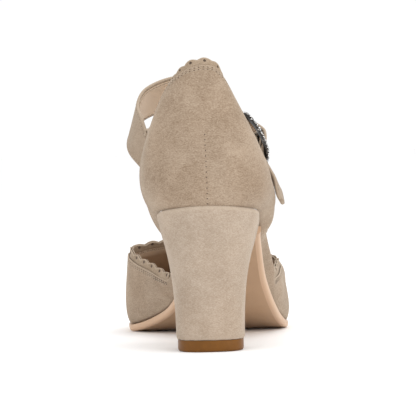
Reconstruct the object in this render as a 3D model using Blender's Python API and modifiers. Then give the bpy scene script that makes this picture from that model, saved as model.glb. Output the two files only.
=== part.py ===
"""Dirndl pump, a right shoe: suede upper cut away at the waist, scalloped edges, covered block heel
and a buckled instep strap. Metres, +Z up, toe along +Y, outer side of the foot along +X.
Lengths along the foot are counted from the heel's back and shifted to the origin at the end."""

import math
from collections import namedtuple

import bmesh
import bpy
from mathutils import Vector

# Sizes of the whole shoe
LENGTH = 0.228  # heel back to toe tip, along the floor
BALL_WIDTH = 0.0854  # across the upper at the ball
INSTEP = 0.086  # featherline to the ridge of the last, under the strap
SEAT_HEIGHT = 0.0687  # floor to the featherline at the heel back
TOE_SPRING = 0.0062
WALL = 0.0018  # suede, stiffener and lining together
GAP = 0.0003  # between pieces that are glued or sewn together

# Ends of the last, where its outline turns round the heel and the toe
SEAT_BACK = 0.0025
HEEL_CENTRE = 0.031
TOE_START = 0.171
TOE_TIP_IN = 0.0055
HEEL_ROUNDNESS = 2.2
TOE_ROUNDNESS = 2.08

# Sole, heel and insole
SOLE_THICK = 0.0035
BALL_HEIGHT = SOLE_THICK + GAP  # floor to the featherline at the ball
SOLE_EDGE = 0.0008  # sole beyond the featherline
SOLE_BEVEL = 0.0016
SOLE_SIDE = 0.0019  # upright part of the sole's edge
HEEL_BREAST = 0.050
BREAST_ROUNDNESS = 9.0
FOOT_WIDTH = 0.0316
FOOT_BACK = 0.0060
FOOT_FRONT = 0.0400
FOOT_ROUNDNESS = 2.6
TOP_PIECE = 0.0053
TOP_PIECE_BEVEL = 0.0006
TOP_PIECE_INSET = 0.0006  # inside the covered heel's foot
INSOLE_THICK = 0.0022
INSOLE_INSET = 0.0026

# Trims and strap
SCALLOP = 0.0060  # pitch
SCALLOP_DEPTH = 0.0013
TRIM_SHOW = 0.0034
TRIM_THICK = 0.0010
TRIM_GAP = 0.0004  # over the folded edge
LEAN_GAP = 0.0006  # more of it where the trim leans
STRAP_WIDTH = 0.0245
STRAP_THICK = 0.0016
TAB_WIDTH = 0.0120
TAB_THICK = 0.0008

# Buckle: an upright frame with a bar across its middle
FRAME_LENGTH = 0.0270
FRAME_WIDTH = 0.0245
FRAME_RIM = 0.0030
FRAME_THICK = 0.0018
FRAME_CORNERS = 0.45  # power of the frame's rounded rectangle
FRAME_BEADS = 24
BEAD = 0.0003
BAR_RADIUS = 0.0008
PRONG_RADIUS = 0.0005
PRONG_START = 0.0048  # past the bar, where the prong comes out of the strap
PRONG_RISE = 0.0033

# Mesh fineness
HEEL_COLUMNS = 8
TOE_COLUMNS = 10
RIB_ROWS = 8
SCALLOP_POINTS = 4
TRIM_STEPS = 60  # frames along half a folded edge
STRAP_ACROSS = 3

# Featherline seen from the side: share of the length, share of the seat height above the ball
Rise = namedtuple("Rise", "along rise")
RISES = [
    Rise(0.000, 1.000),
    Rise(0.066, 0.962),
    Rise(0.132, 0.912),
    Rise(0.197, 0.838),
    Rise(0.263, 0.727),
    Rise(0.329, 0.592),
    Rise(0.395, 0.444),
    Rise(0.461, 0.302),
    Rise(0.526, 0.177),
    Rise(0.592, 0.080),
    Rise(0.650, 0.022),
    Rise(0.700, 0.000),
    Rise(1.000, 0.000),
]

# Featherline seen from below: share of the length, half widths as shares of the ball width
Outline = namedtuple("Outline", "along inner outer")
OUTLINE = [
    Outline(0.000, 0.279, 0.283),
    Outline(0.136, 0.279, 0.283),
    Outline(0.197, 0.254, 0.286),
    Outline(0.250, 0.217, 0.281),
    Outline(0.330, 0.183, 0.293),
    Outline(0.400, 0.173, 0.310),
    Outline(0.470, 0.187, 0.342),
    Outline(0.530, 0.234, 0.375),
    Outline(0.590, 0.322, 0.407),
    Outline(0.650, 0.420, 0.440),
    Outline(0.700, 0.475, 0.457),
    Outline(0.750, 0.483, 0.455),
    Outline(1.000, 0.483, 0.455),
]

# Ribs of the upper, from the featherline to the folded edge. A station runs from 0 at the back seam to
# 1 where the heel's round ends, to 2 where the toe's round starts, and to 3 at the toe tip. The rib's
# top is given by a share of the length, of the ball width, and of the instep above the featherline.
# The low and high columns are the rib's handles, outward and upward, as shares of the instep.
Rib = namedtuple("Rib", "station along across up low_out low_up high_out high_up")
INNER_RIBS = [
    Rib(0.000, 0.035, 0.012, 0.730, 0.055, 0.20, 0.058, -0.19),
    Rib(0.250, 0.039, 0.070, 0.723, 0.070, 0.18, 0.075, -0.20),
    Rib(0.500, 0.050, 0.135, 0.700, 0.100, 0.15, 0.100, -0.21),
    Rib(0.750, 0.079, 0.211, 0.645, 0.125, 0.13, 0.120, -0.22),
    Rib(1.000, 0.118, 0.258, 0.556, 0.130, 0.12, 0.115, -0.21),
    Rib(1.070, 0.165, 0.296, 0.516, 0.150, 0.12, 0.090, -0.19),
    Rib(1.136, 0.211, 0.316, 0.505, 0.155, 0.12, 0.070, -0.17),
    Rib(1.186, 0.239, 0.330, 0.535, 0.145, 0.12, 0.045, -0.17),
    Rib(1.214, 0.263, 0.354, 0.472, 0.140, 0.11, 0.030, -0.13),
    Rib(1.243, 0.288, 0.365, 0.400, 0.125, 0.10, 0.012, -0.10),
    Rib(1.264, 0.303, 0.328, 0.229, 0.080, 0.06, 0.008, -0.06),
    Rib(1.293, 0.320, 0.250, 0.120, 0.015, 0.03, 0.000, -0.03),
    Rib(1.350, 0.351, 0.222, 0.092, 0.010, 0.03, 0.002, -0.03),
    Rib(1.436, 0.404, 0.211, 0.085, 0.008, 0.03, 0.004, -0.03),
    Rib(1.514, 0.452, 0.224, 0.082, 0.008, 0.03, 0.004, -0.03),
    Rib(1.557, 0.482, 0.246, 0.085, 0.010, 0.03, 0.006, -0.03),
    Rib(1.607, 0.509, 0.284, 0.137, 0.020, 0.05, 0.018, -0.05),
    Rib(1.693, 0.557, 0.356, 0.240, 0.055, 0.08, 0.016, -0.09),
    Rib(1.764, 0.602, 0.424, 0.316, 0.070, 0.09, 0.018, -0.11),
    Rib(1.850, 0.647, 0.470, 0.388, 0.080, 0.10, 0.025, -0.12),
    Rib(2.000, 0.689, 0.473, 0.421, 0.045, 0.12, 0.030, -0.12),
    Rib(2.150, 0.704, 0.441, 0.430, 0.025, 0.12, 0.080, -0.12),
    Rib(2.300, 0.717, 0.380, 0.438, 0.030, 0.13, 0.150, -0.13),
    Rib(2.500, 0.728, 0.287, 0.430, 0.030, 0.13, 0.230, -0.16),
    Rib(2.750, 0.736, 0.164, 0.418, 0.030, 0.13, 0.300, -0.19),
    Rib(3.000, 0.738, 0.035, 0.414, 0.030, 0.13, 0.320, -0.20),
]
OUTER_RIBS = [
    Rib(0.000, 0.035, -0.012, 0.730, 0.055, 0.20, 0.058, -0.19),
    Rib(0.250, 0.038, 0.040, 0.728, 0.070, 0.18, 0.075, -0.20),
    Rib(0.500, 0.050, 0.096, 0.690, 0.100, 0.15, 0.100, -0.22),
    Rib(0.750, 0.077, 0.148, 0.612, 0.125, 0.13, 0.125, -0.22),
    Rib(1.000, 0.118, 0.194, 0.520, 0.145, 0.12, 0.125, -0.21),
    Rib(1.070, 0.162, 0.241, 0.445, 0.150, 0.12, 0.090, -0.17),
    Rib(1.136, 0.206, 0.273, 0.425, 0.140, 0.12, 0.060, -0.15),
    Rib(1.186, 0.246, 0.289, 0.430, 0.125, 0.12, 0.035, -0.14),
    Rib(1.214, 0.272, 0.316, 0.360, 0.105, 0.10, 0.022, -0.10),
    Rib(1.243, 0.291, 0.337, 0.240, 0.070, 0.07, 0.010, -0.07),
    Rib(1.264, 0.305, 0.338, 0.142, 0.040, 0.04, 0.006, -0.04),
    Rib(1.293, 0.325, 0.331, 0.100, 0.015, 0.03, 0.004, -0.03),
    Rib(1.350, 0.355, 0.342, 0.092, 0.010, 0.03, 0.006, -0.03),
    Rib(1.436, 0.408, 0.365, 0.086, 0.010, 0.03, 0.006, -0.03),
    Rib(1.514, 0.456, 0.382, 0.080, 0.010, 0.03, 0.006, -0.03),
    Rib(1.557, 0.482, 0.383, 0.078, 0.010, 0.03, 0.006, -0.03),
    Rib(1.621, 0.522, 0.394, 0.135, 0.020, 0.05, 0.015, -0.05),
    Rib(1.707, 0.570, 0.416, 0.215, 0.040, 0.07, 0.025, -0.07),
    Rib(1.793, 0.618, 0.434, 0.282, 0.040, 0.08, 0.030, -0.08),
    Rib(1.864, 0.658, 0.443, 0.320, 0.045, 0.09, 0.033, -0.09),
    Rib(2.000, 0.691, 0.437, 0.342, 0.045, 0.10, 0.050, -0.10),
    Rib(2.150, 0.708, 0.421, 0.357, 0.028, 0.11, 0.090, -0.10),
    Rib(2.300, 0.724, 0.381, 0.375, 0.030, 0.12, 0.160, -0.11),
    Rib(2.500, 0.734, 0.290, 0.395, 0.030, 0.13, 0.230, -0.14),
    Rib(2.750, 0.738, 0.130, 0.408, 0.030, 0.13, 0.300, -0.18),
    Rib(3.000, 0.738, -0.035, 0.414, 0.030, 0.13, 0.320, -0.20),
]
RIBS = {"inner": INNER_RIBS, "outer": OUTER_RIBS}
SIDE_SIGN = {"inner": -1.0, "outer": 1.0}

# Columns along each side of the upper, closer together where the quarter's front edge comes down
SIDE_STATIONS = [
    1.05, 1.10, 1.145, 1.186, 1.205, 1.224, 1.243, 1.254, 1.264, 1.278, 1.295, 1.35, 1.42, 1.49,
    1.54, 1.575, 1.61, 1.65, 1.70, 1.75, 1.80, 1.86, 1.93,
]

# Heel block between its foot and its seat: share of the height, share of the way from foot to seat
HeelLevel = namedtuple("HeelLevel", "up spread back")
HEEL_LEVELS = [
    HeelLevel(0.00, 0.000, 0.00),
    HeelLevel(0.18, 0.030, 0.10),
    HeelLevel(0.36, 0.110, 0.26),
    HeelLevel(0.54, 0.260, 0.46),
    HeelLevel(0.70, 0.480, 0.66),
    HeelLevel(0.85, 0.760, 0.84),
    HeelLevel(1.00, 1.000, 1.00),
]

# Strap's middle line and the direction from its rear to its front edge. The place is given by shares of
# the ball width, of the length, and of the instep above the seat.
StrapRow = namedtuple("StrapRow", "across along up wide_x wide_y wide_z wide")
STRAP = [
    StrapRow(-0.392, 0.305, 0.361, -0.27, 0.63, -0.73, 0.98),
    StrapRow(-0.407, 0.349, 0.436, -0.22, 0.68, -0.70, 1.00),
    StrapRow(-0.365, 0.388, 0.519, -0.12, 0.76, -0.64, 1.00),
    StrapRow(-0.283, 0.410, 0.570, -0.08, 0.77, -0.63, 1.00),
    StrapRow(-0.170, 0.423, 0.601, -0.04, 0.77, -0.63, 1.00),
    StrapRow(-0.047, 0.428, 0.612, 0.00, 0.775, -0.63, 1.00),
    StrapRow(0.060, 0.417, 0.595, 0.08, 0.79, -0.60, 0.97),
    StrapRow(0.112, 0.386, 0.556, 0.12, 0.83, -0.54, 0.90),
    StrapRow(0.142, 0.345, 0.503, 0.12, 0.87, -0.48, 0.82),
]

# Where the strap goes through the buckle: share of the frame's half length, height over its middle
# plane in the strap's own thickness
Threading = namedtuple("Threading", "along over")
THREADING = [
    Threading(-1.12, -1.34),
    Threading(-0.74, -1.52),
    Threading(-0.42, 0.60),
    Threading(-0.10, 1.90),
    Threading(0.10, 1.90),
    Threading(0.42, 0.60),
    Threading(0.74, -1.43),
    Threading(1.12, -1.30),
]
TAIL = [
    StrapRow(0.384, 0.240, 0.083, 0.10, 0.93, -0.36, 0.70),
    StrapRow(0.400, 0.234, 0.030, 0.10, 0.93, -0.36, 0.66),
    StrapRow(0.408, 0.230, -0.005, 0.10, 0.93, -0.36, 0.50),
    StrapRow(0.412, 0.227, -0.020, 0.10, 0.93, -0.36, 0.28),
]
STRAP_AT_BUCKLE = 0.69
ROOT_STATIONS = (1.186, 1.205, 1.224, 1.243)
COLLAR_TRIM_ENDS = (1.172, 1.150)  # inner and outer station
VAMP_TRIM_START = 1.575
TRIM_LEAN = 0.55  # how far the vamp's trim is lifted towards upright
LEAN_START = 1.9  # station where the lift begins, full one station further

# Buckle's middle, the way the strap runs through it and the way its bar runs
BUCKLE_ACROSS = 0.277
BUCKLE_ALONG = 0.281
BUCKLE_UP = 0.338
BUCKLE_RUN = Vector((0.47, -0.42, -0.78)).normalized()
BUCKLE_WIDE = Vector((0.12, 0.90, -0.42))
TAB_STATIONS = (1.162, 1.205)
TAB_PRESS = 0.0052  # from the bar to where the tab's two legs come together
TAB_DROP = 0.0017  # its outer leg there, below the buckle's middle plane
TAB_TURN_FROM = math.radians(-30.0)  # round the bar, from straight out
TAB_TURN_TO = math.radians(210.0)


def curve_at(rows, column, x):
    """Smooth value of a table's named column at x, which is the table's first column."""
    xs = [row[0] for row in rows]
    ys = [getattr(row, column) for row in rows]
    if x <= xs[0]:
        return ys[0]
    if x >= xs[-1]:
        return ys[-1]
    slopes = [(ys[i + 1] - ys[i]) / (xs[i + 1] - xs[i]) for i in range(len(xs) - 1)]
    tangents = [slopes[0]]
    for before, after in zip(slopes, slopes[1:]):
        if before * after <= 0.0:
            tangents.append(0.0)
        else:
            tangents.append(2.0 * before * after / (before + after))
    tangents.append(slopes[-1])
    i = max(k for k in range(len(xs) - 1) if xs[k] <= x)
    step = xs[i + 1] - xs[i]
    t = (x - xs[i]) / step
    return (
        (2 * t**3 - 3 * t**2 + 1) * ys[i]
        + (t**3 - 2 * t**2 + t) * step * tangents[i]
        + (3 * t**2 - 2 * t**3) * ys[i + 1]
        + (t**3 - t**2) * step * tangents[i + 1]
    )


def feather_height(y):
    """Height of the featherline above the floor."""
    share = y / LENGTH
    spring = max(0.0, (y - TOE_START) / (LENGTH - TOE_START)) ** 2 * TOE_SPRING
    return BALL_HEIGHT + (SEAT_HEIGHT - BALL_HEIGHT) * curve_at(RISES, "rise", share) + spring


def round_share(angle, roundness):
    """Depth and width shares of a superellipse's quarter turn."""
    return math.sin(angle) ** (2 / roundness), math.cos(angle) ** (2 / roundness)


def feather_plan(side, station):
    """Point of the featherline seen from below."""
    sign = SIDE_SIGN[side]
    centre = 0.0
    if station < 1.0:
        deep, wide = round_share((1.0 - station) * math.pi / 2, HEEL_ROUNDNESS)
        y = HEEL_CENTRE - (HEEL_CENTRE - SEAT_BACK) * deep
    elif station <= 2.0:
        y = HEEL_CENTRE + (station - 1.0) * (TOE_START - HEEL_CENTRE)
        wide = 1.0
    else:
        deep, wide = round_share((station - 2.0) * math.pi / 2, TOE_ROUNDNESS)
        y = TOE_START + (LENGTH - SOLE_EDGE - TOE_START) * deep
        centre = -TOE_TIP_IN * deep**2
    half = curve_at(OUTLINE, side, y / LENGTH) * BALL_WIDTH
    return centre + sign * half * wide, y


def feather_point(side, station):
    x, y = feather_plan(side, station)
    return Vector((x, y, feather_height(y)))


def outward(side, station):
    """Level direction away from the last, square to the featherline."""
    step = 0.02
    low, high = max(0.0, station - step), min(3.0, station + step)
    if station < step:
        return Vector((0.0, -1.0, 0.0))
    if station > 3.0 - step:
        return Vector((0.0, 1.0, 0.0))
    x0, y0 = feather_plan(side, low)
    x1, y1 = feather_plan(side, high)
    along = Vector((x1 - x0, y1 - y0, 0.0)).normalized()
    return Vector((along.y, -along.x, 0.0)) * SIDE_SIGN[side]


def rib_handles(side, station):
    rows = RIBS[side]
    foot = feather_point(side, station)
    out = outward(side, station)
    up = Vector((0.0, 0.0, 1.0))
    value = {column: curve_at(rows, column, station) for column in Rib._fields[1:]}
    top = Vector((
        SIDE_SIGN[side] * value["across"] * BALL_WIDTH,
        value["along"] * LENGTH,
        foot.z + value["up"] * INSTEP,
    ))
    low = foot + out * value["low_out"] * INSTEP + up * value["low_up"] * INSTEP
    high = top + out * value["high_out"] * INSTEP + up * value["high_up"] * INSTEP
    return foot, low, high, top


def rib_point(side, station, t):
    """Point of the upper's outside, t from 0 at the featherline to 1 at the folded edge."""
    foot, low, high, top = rib_handles(side, station)
    s = 1.0 - t
    return foot * s**3 + low * 3 * s**2 * t + high * 3 * s * t**2 + top * t**3


def edge_frame(side, station):
    """Folded edge: its point, the way the wall runs out of it, and the way into the shoe."""
    _, _, high, top = rib_handles(side, station)
    step = 0.004
    behind = rib_handles(side, max(0.0, station - step))[3]
    ahead = rib_handles(side, min(3.0, station + step))[3]
    along = (ahead - behind).normalized()
    rise = (top - high).normalized()
    inward = along.cross(rise) * -SIDE_SIGN[side]
    rise = inward.cross(along) * -SIDE_SIGN[side]
    return top, rise.normalized(), inward.normalized()


def loop_stations():
    """Columns once round the shoe, from the back seam along the inner side and back."""
    half = [k / HEEL_COLUMNS for k in range(1, HEEL_COLUMNS + 1)] + SIDE_STATIONS
    half += [2.0 + k / TOE_COLUMNS for k in range(TOE_COLUMNS)]
    inner = [("inner", station) for station in half]
    outer = [("outer", station) for station in reversed(half)]
    return [("inner", 0.0)] + inner + [("inner", 3.0)] + outer


def paint(name, colour, roughness, metallic=0.0):
    material = bpy.data.materials.new(name)
    material.use_nodes = True
    shader = material.node_tree.nodes["Principled BSDF"]
    shader.inputs["Base Color"].default_value = (*colour, 1.0)
    shader.inputs["Roughness"].default_value = roughness
    shader.inputs["Metallic"].default_value = metallic
    return material


def add_piece(name, points, faces, material, smooth_degrees=40.0):
    mesh = bpy.data.meshes.new(name)
    mesh.from_pydata([tuple(point) for point in points], [], faces)
    mesh.validate()
    mesh_edit = bmesh.new()
    mesh_edit.from_mesh(mesh)
    bmesh.ops.recalc_face_normals(mesh_edit, faces=mesh_edit.faces)
    mesh_edit.to_mesh(mesh)
    mesh_edit.free()
    mesh.shade_smooth()
    mesh.set_sharp_from_angle(angle=math.radians(smooth_degrees))
    mesh.materials.append(material)
    piece = bpy.data.objects.new(name, mesh)
    return piece


def loft(rings, closed_path=False):
    """Points and faces of rings of equal size joined one after another, with flat ends."""
    size = len(rings[0])
    points = [point for ring in rings for point in ring]
    count = len(rings)
    faces = []
    for i in range(count if closed_path else count - 1):
        for k in range(size):
            a, b = i * size, (i + 1) % count * size
            faces.append((a + k, a + (k + 1) % size, b + (k + 1) % size, b + k))
    if not closed_path:
        faces.append(tuple(range(size)))
        faces.append(tuple(range((count - 1) * size, count * size)))
    return points, faces


def ladder_cap(first, size):
    """Faces across a ring whose points pair up left and right, starting from one end of it."""
    faces = [(first, first + 1, first + size - 1)]
    for k in range(1, size // 2 - 1):
        faces.append((first + k, first + k + 1, first + size - k - 1, first + size - k))
    faces.append((first + size // 2 - 1, first + size // 2, first + size // 2 + 1))
    return faces


def thicken(piece, thickness, offset):
    wall = piece.modifiers.new("wall", "SOLIDIFY")
    wall.thickness = thickness
    wall.offset = offset
    wall.use_even_offset = True
    wall.use_rim = True
    return piece


def make_upper(material):
    columns = loop_stations()
    rows = RIB_ROWS + 1
    points = []
    for side, station in columns:
        points += [rib_point(side, station, k / RIB_ROWS) for k in range(rows)]
    faces = []
    for i in range(len(columns)):
        a, b = i * rows, (i + 1) % len(columns) * rows
        for k in range(RIB_ROWS):
            faces.append((a + k, a + k + 1, b + k + 1, b + k))
    mesh = bpy.data.meshes.new("upper")
    mesh.from_pydata([tuple(point) for point in points], [], faces)
    mesh.shade_smooth()
    mesh.set_sharp_from_angle(angle=math.radians(50.0))
    mesh.materials.append(material)
    return thicken(bpy.data.objects.new("upper", mesh), WALL, -1.0)


def feather_halves(y, beyond=0.0):
    """Left and right edge at a distance from the heel back, so far beyond the featherline."""
    edges = []
    for side in ("inner", "outer"):
        sign = SIDE_SIGN[side]
        half = curve_at(OUTLINE, side, y / LENGTH) * BALL_WIDTH + beyond
        centre = 0.0
        wide = 1.0
        if y < HEEL_CENTRE:
            deep = min(1.0, (HEEL_CENTRE - y) / (HEEL_CENTRE - SEAT_BACK + beyond))
            wide = (1.0 - deep**HEEL_ROUNDNESS) ** (1 / HEEL_ROUNDNESS)
        elif y > TOE_START:
            deep = min(1.0, (y - TOE_START) / (LENGTH - SOLE_EDGE + beyond - TOE_START))
            wide = (1.0 - deep**TOE_ROUNDNESS) ** (1 / TOE_ROUNDNESS)
            centre = -TOE_TIP_IN * deep**2
        edges.append(centre + sign * half * wide)
    return edges


def column_distances(first, last):
    """Distances from the heel back of the upper's columns between two of them."""
    half = [k / HEEL_COLUMNS for k in range(1, HEEL_COLUMNS + 1)] + SIDE_STATIONS
    half += [2.0 + k / TOE_COLUMNS for k in range(TOE_COLUMNS)]
    distances = [feather_plan("inner", station)[1] for station in half]
    return [y for y in distances if first < y < last]


def make_outsole(material):
    start, end = HEEL_BREAST + GAP, LENGTH - GAP
    rings = []
    for y in [start] + column_distances(start + GAP, end) + [end]:
        left, right = feather_halves(y, SOLE_EDGE)
        bevel = min(SOLE_BEVEL, (right - left) / 3)
        top = feather_height(y) - GAP
        bottom = top - SOLE_THICK
        rings.append([
            Vector((left, y, top)),
            Vector((right, y, top)),
            Vector((right, y, top - SOLE_SIDE)),
            Vector((right - bevel, y, bottom)),
            Vector((left + bevel, y, bottom)),
            Vector((left, y, top - SOLE_SIDE)),
        ])
    points, faces = loft(rings)
    return add_piece("outsole", points, faces, material)


def make_insole(material):
    start = SEAT_BACK + INSOLE_INSET + GAP
    end = LENGTH - SOLE_EDGE - INSOLE_INSET - GAP
    rings = []
    for y in [start] + column_distances(start + GAP, end - GAP) + [end]:
        left, right = feather_halves(y, -INSOLE_INSET)
        bottom = feather_height(y)
        rings.append([
            Vector((left, y, bottom)),
            Vector((right, y, bottom)),
            Vector((right, y, bottom + INSOLE_THICK)),
            Vector((left, y, bottom + INSOLE_THICK)),
        ])
    points, faces = loft(rings)
    return add_piece("insole", points, faces, material)


def foot_ring(height, inset=0.0):
    """The heel's foot outline, from its back point round the inner side to the front and back."""
    middle = FOOT_BACK + FOOT_WIDTH / 2
    ring = []
    for k in range(4 * HEEL_COLUMNS):
        angle = math.pi / 2 * k / HEEL_COLUMNS
        roundness = FOOT_ROUNDNESS if math.cos(angle) > 0 else BREAST_ROUNDNESS
        depth = middle - FOOT_BACK if math.cos(angle) > 0 else FOOT_FRONT - middle
        wide = math.copysign(abs(math.sin(angle)) ** (2 / roundness), math.sin(angle))
        deep = math.copysign(abs(math.cos(angle)) ** (2 / roundness), math.cos(angle))
        x = -wide * (FOOT_WIDTH / 2 - inset)
        y = middle - deep * (depth - inset)
        ring.append(Vector((x, y, height)))
    return ring


def seat_ring():
    """The heel's seat outline, on the featherline behind the breast, with the same points as its foot."""
    ring = []
    for k in range(4 * HEEL_COLUMNS):
        angle = math.pi / 2 * k / HEEL_COLUMNS
        side = "inner" if k <= 2 * HEEL_COLUMNS else "outer"
        if math.cos(angle) > 1e-9:
            deep = math.cos(angle) ** (2 / HEEL_ROUNDNESS)
            wide = abs(math.sin(angle)) ** (2 / HEEL_ROUNDNESS)
            y = HEEL_CENTRE - (HEEL_CENTRE - SEAT_BACK) * deep
        else:
            deep = abs(math.cos(angle)) ** (2 / BREAST_ROUNDNESS)
            wide = abs(math.sin(angle)) ** (2 / BREAST_ROUNDNESS)
            y = HEEL_CENTRE + (HEEL_BREAST - GAP - HEEL_CENTRE) * deep
        half = curve_at(OUTLINE, side, y / LENGTH) * BALL_WIDTH
        ring.append(Vector((SIDE_SIGN[side] * half * wide, y, feather_height(y) - GAP)))
    return ring


def make_heel(material):
    foot = foot_ring(TOP_PIECE + GAP)
    seat = seat_ring()
    rings = []
    for level in HEEL_LEVELS:
        ring = []
        for low, high in zip(foot, seat):
            x = low.x + (high.x - low.x) * level.spread
            y = low.y + (high.y - low.y) * level.back
            z = low.z + (high.z - low.z) * level.up
            ring.append(Vector((x, y, z)))
        rings.append(ring)
    size = len(foot)
    points = [point for ring in rings for point in ring]
    faces = []
    for i in range(len(rings) - 1):
        for k in range(size):
            a, b = i * size, (i + 1) * size
            faces.append((a + k, a + (k + 1) % size, b + (k + 1) % size, b + k))
    faces += ladder_cap(0, size) + ladder_cap((len(rings) - 1) * size, size)
    return add_piece("heel_block", points, faces, material)


def make_top_piece(material):
    rings = [
        foot_ring(0.0, TOP_PIECE_INSET + TOP_PIECE_BEVEL),
        foot_ring(TOP_PIECE_BEVEL, TOP_PIECE_INSET),
        foot_ring(TOP_PIECE, TOP_PIECE_INSET),
    ]
    points, faces = loft(rings)
    return add_piece("heel_top_piece", points, faces, material)


def scalloped_strip(name, path, material):
    """A thin strip standing on the folded edge. The path lists side, station and lean to upright."""
    frames = []
    for side, station, lean in path:
        top, rise, inward = edge_frame(side, station)
        rise = (rise + Vector((0.0, 0.0, lean))).normalized()
        inward = (inward - rise * inward.dot(rise)).normalized()
        frames.append((top + inward * WALL / 2, rise, inward, lean))
    length = [0.0]
    for before, after in zip(frames, frames[1:]):
        length.append(length[-1] + (after[0] - before[0]).length)
    bumps = round(length[-1] / SCALLOP)
    count = bumps * SCALLOP_POINTS
    rings = []
    k = 0
    for i in range(count + 1):
        here = length[-1] * i / count
        while k < len(length) - 2 and length[k + 1] < here:
            k += 1
        t = (here - length[k]) / (length[k + 1] - length[k])
        base = frames[k][0].lerp(frames[k + 1][0], t)
        rise = frames[k][1].lerp(frames[k + 1][1], t).normalized()
        inward = frames[k][2].lerp(frames[k + 1][2], t).normalized()
        lean = frames[k][3]
        high = TRIM_SHOW - SCALLOP_DEPTH * (1.0 - abs(math.sin(math.pi * i / SCALLOP_POINTS)))
        low = base + rise * (TRIM_GAP + LEAN_GAP * lean)
        tip = base + rise * high
        half = inward * TRIM_THICK / 2
        rings.append([low - half, tip - half, tip + half, low + half])
    points, faces = loft(rings)
    return add_piece(name, points, faces, material, 30.0)


def make_collar_trim(material):
    inner_end, outer_end = COLLAR_TRIM_ENDS
    path = [("inner", inner_end * (1 - k / TRIM_STEPS), 0.0) for k in range(TRIM_STEPS)]
    path += [("outer", outer_end * k / TRIM_STEPS, 0.0) for k in range(TRIM_STEPS + 1)]
    return scalloped_strip("collar_trim", path, material)


def make_vamp_trim(material):
    path = []
    for k in range(TRIM_STEPS):
        station = VAMP_TRIM_START + (3.0 - VAMP_TRIM_START) * k / TRIM_STEPS
        path.append(("inner", station, TRIM_LEAN * min(1.0, max(0.0, station - LEAN_START))))
    for k in range(TRIM_STEPS + 1):
        station = 3.0 + (VAMP_TRIM_START - 3.0) * k / TRIM_STEPS
        path.append(("outer", station, TRIM_LEAN * min(1.0, max(0.0, station - LEAN_START))))
    return scalloped_strip("vamp_trim", path, material)


def strap_place(row):
    return Vector((row.across * BALL_WIDTH, row.along * LENGTH, SEAT_HEIGHT + row.up * INSTEP))


def buckle_frame_axes():
    """Middle of the buckle, the way the strap runs, the way the bar runs and the way out."""
    middle = Vector((BUCKLE_ACROSS * BALL_WIDTH, BUCKLE_ALONG * LENGTH, SEAT_HEIGHT + BUCKLE_UP * INSTEP))
    wide = (BUCKLE_WIDE - BUCKLE_RUN * BUCKLE_WIDE.dot(BUCKLE_RUN)).normalized()
    out = BUCKLE_RUN.cross(wide)
    if out.x < 0:
        out = -out
    return middle, BUCKLE_RUN, wide, out


def strap_rows():
    """Rear and front edge of the strap at each row, past its root."""
    middle, run, wide, out = buckle_frame_axes()
    rows = []
    for row in STRAP:
        across = Vector((row.wide_x, row.wide_y, row.wide_z)).normalized()
        rows.append((strap_place(row), across, row.wide * STRAP_WIDTH))
    for thread in THREADING:
        centre = middle + run * thread.along * FRAME_LENGTH / 2 + out * thread.over * STRAP_THICK
        rows.append((centre, wide, STRAP_AT_BUCKLE * STRAP_WIDTH))
    for row in TAIL:
        across = Vector((row.wide_x, row.wide_y, row.wide_z)).normalized()
        rows.append((strap_place(row), across, row.wide * STRAP_WIDTH))
    return rows


def smooth_rows(rows, parts):
    """Rows of points with more rows between them on a smooth curve through all of them."""
    smooth = []
    for i in range(len(rows) - 1):
        before, after = rows[max(0, i - 1)], rows[min(len(rows) - 1, i + 2)]
        for k in range(parts):
            t = k / parts
            row = []
            for p0, p1, p2, p3 in zip(before, rows[i], rows[i + 1], after):
                row.append(
                    p1
                    + (p2 - p0) * 0.5 * t
                    + (p0 - p1 * 2.5 + p2 * 2.0 - p3 * 0.5) * t**2
                    + ((p1 - p2) * 1.5 + (p3 - p0) * 0.5) * t**3
                )
            smooth.append(row)
    smooth.append(rows[-1])
    return smooth


def make_strap(material):
    root = []
    for station in ROOT_STATIONS:
        top, rise, inward = edge_frame("inner", station)
        root.append(top + rise * GAP * 3 + inward * WALL / 2)
    rows = [root]
    for centre, across, width in strap_rows():
        rows.append([centre + across * width * (k / STRAP_ACROSS - 0.5) for k in range(STRAP_ACROSS + 1)])
    rows = smooth_rows(rows, 3)
    size = STRAP_ACROSS + 1
    faces = []
    for i in range(len(rows) - 1):
        for k in range(STRAP_ACROSS):
            faces.append((i * size + k, i * size + k + 1, (i + 1) * size + k + 1, (i + 1) * size + k))
    mesh = bpy.data.meshes.new("instep_strap")
    mesh.from_pydata([tuple(point) for row in rows for point in row], [], faces)
    mesh.shade_smooth()
    mesh.materials.append(material)
    return thicken(bpy.data.objects.new("instep_strap", mesh), STRAP_THICK, 0.0)


def make_buckle_frame(material):
    """A rounded rectangular frame, its rim rising in small beads."""
    middle, run, wide, out = buckle_frame_axes()
    count = 2 * FRAME_BEADS
    centres = []
    for k in range(count):
        angle = 2 * math.pi * k / count
        share_run = math.copysign(abs(math.cos(angle)) ** FRAME_CORNERS, math.cos(angle))
        share_wide = math.copysign(abs(math.sin(angle)) ** FRAME_CORNERS, math.sin(angle))
        along_strap = run * share_run * (FRAME_LENGTH - FRAME_RIM) / 2
        along_bar = wide * share_wide * (FRAME_WIDTH - FRAME_RIM) / 2
        centres.append(middle + along_strap + along_bar)
    half, ridge = FRAME_RIM / 2, FRAME_RIM / 5
    foot, shoulder = FRAME_THICK / 3, FRAME_THICK / 6
    loops = []
    for k, centre in enumerate(centres):
        along = (centres[(k + 1) % count] - centres[k - 1]).normalized()
        away = along.cross(out).normalized()
        high = FRAME_THICK / 2 + BEAD * (k % 2)
        loops.append([
            centre - away * half - out * foot,
            centre - away * half + out * shoulder,
            centre - away * ridge + out * high,
            centre + away * ridge + out * high,
            centre + away * half + out * shoulder,
            centre + away * half - out * foot,
        ])
    points, faces = loft(loops, closed_path=True)
    return add_piece("buckle_frame", points, faces, material, 60.0)


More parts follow.
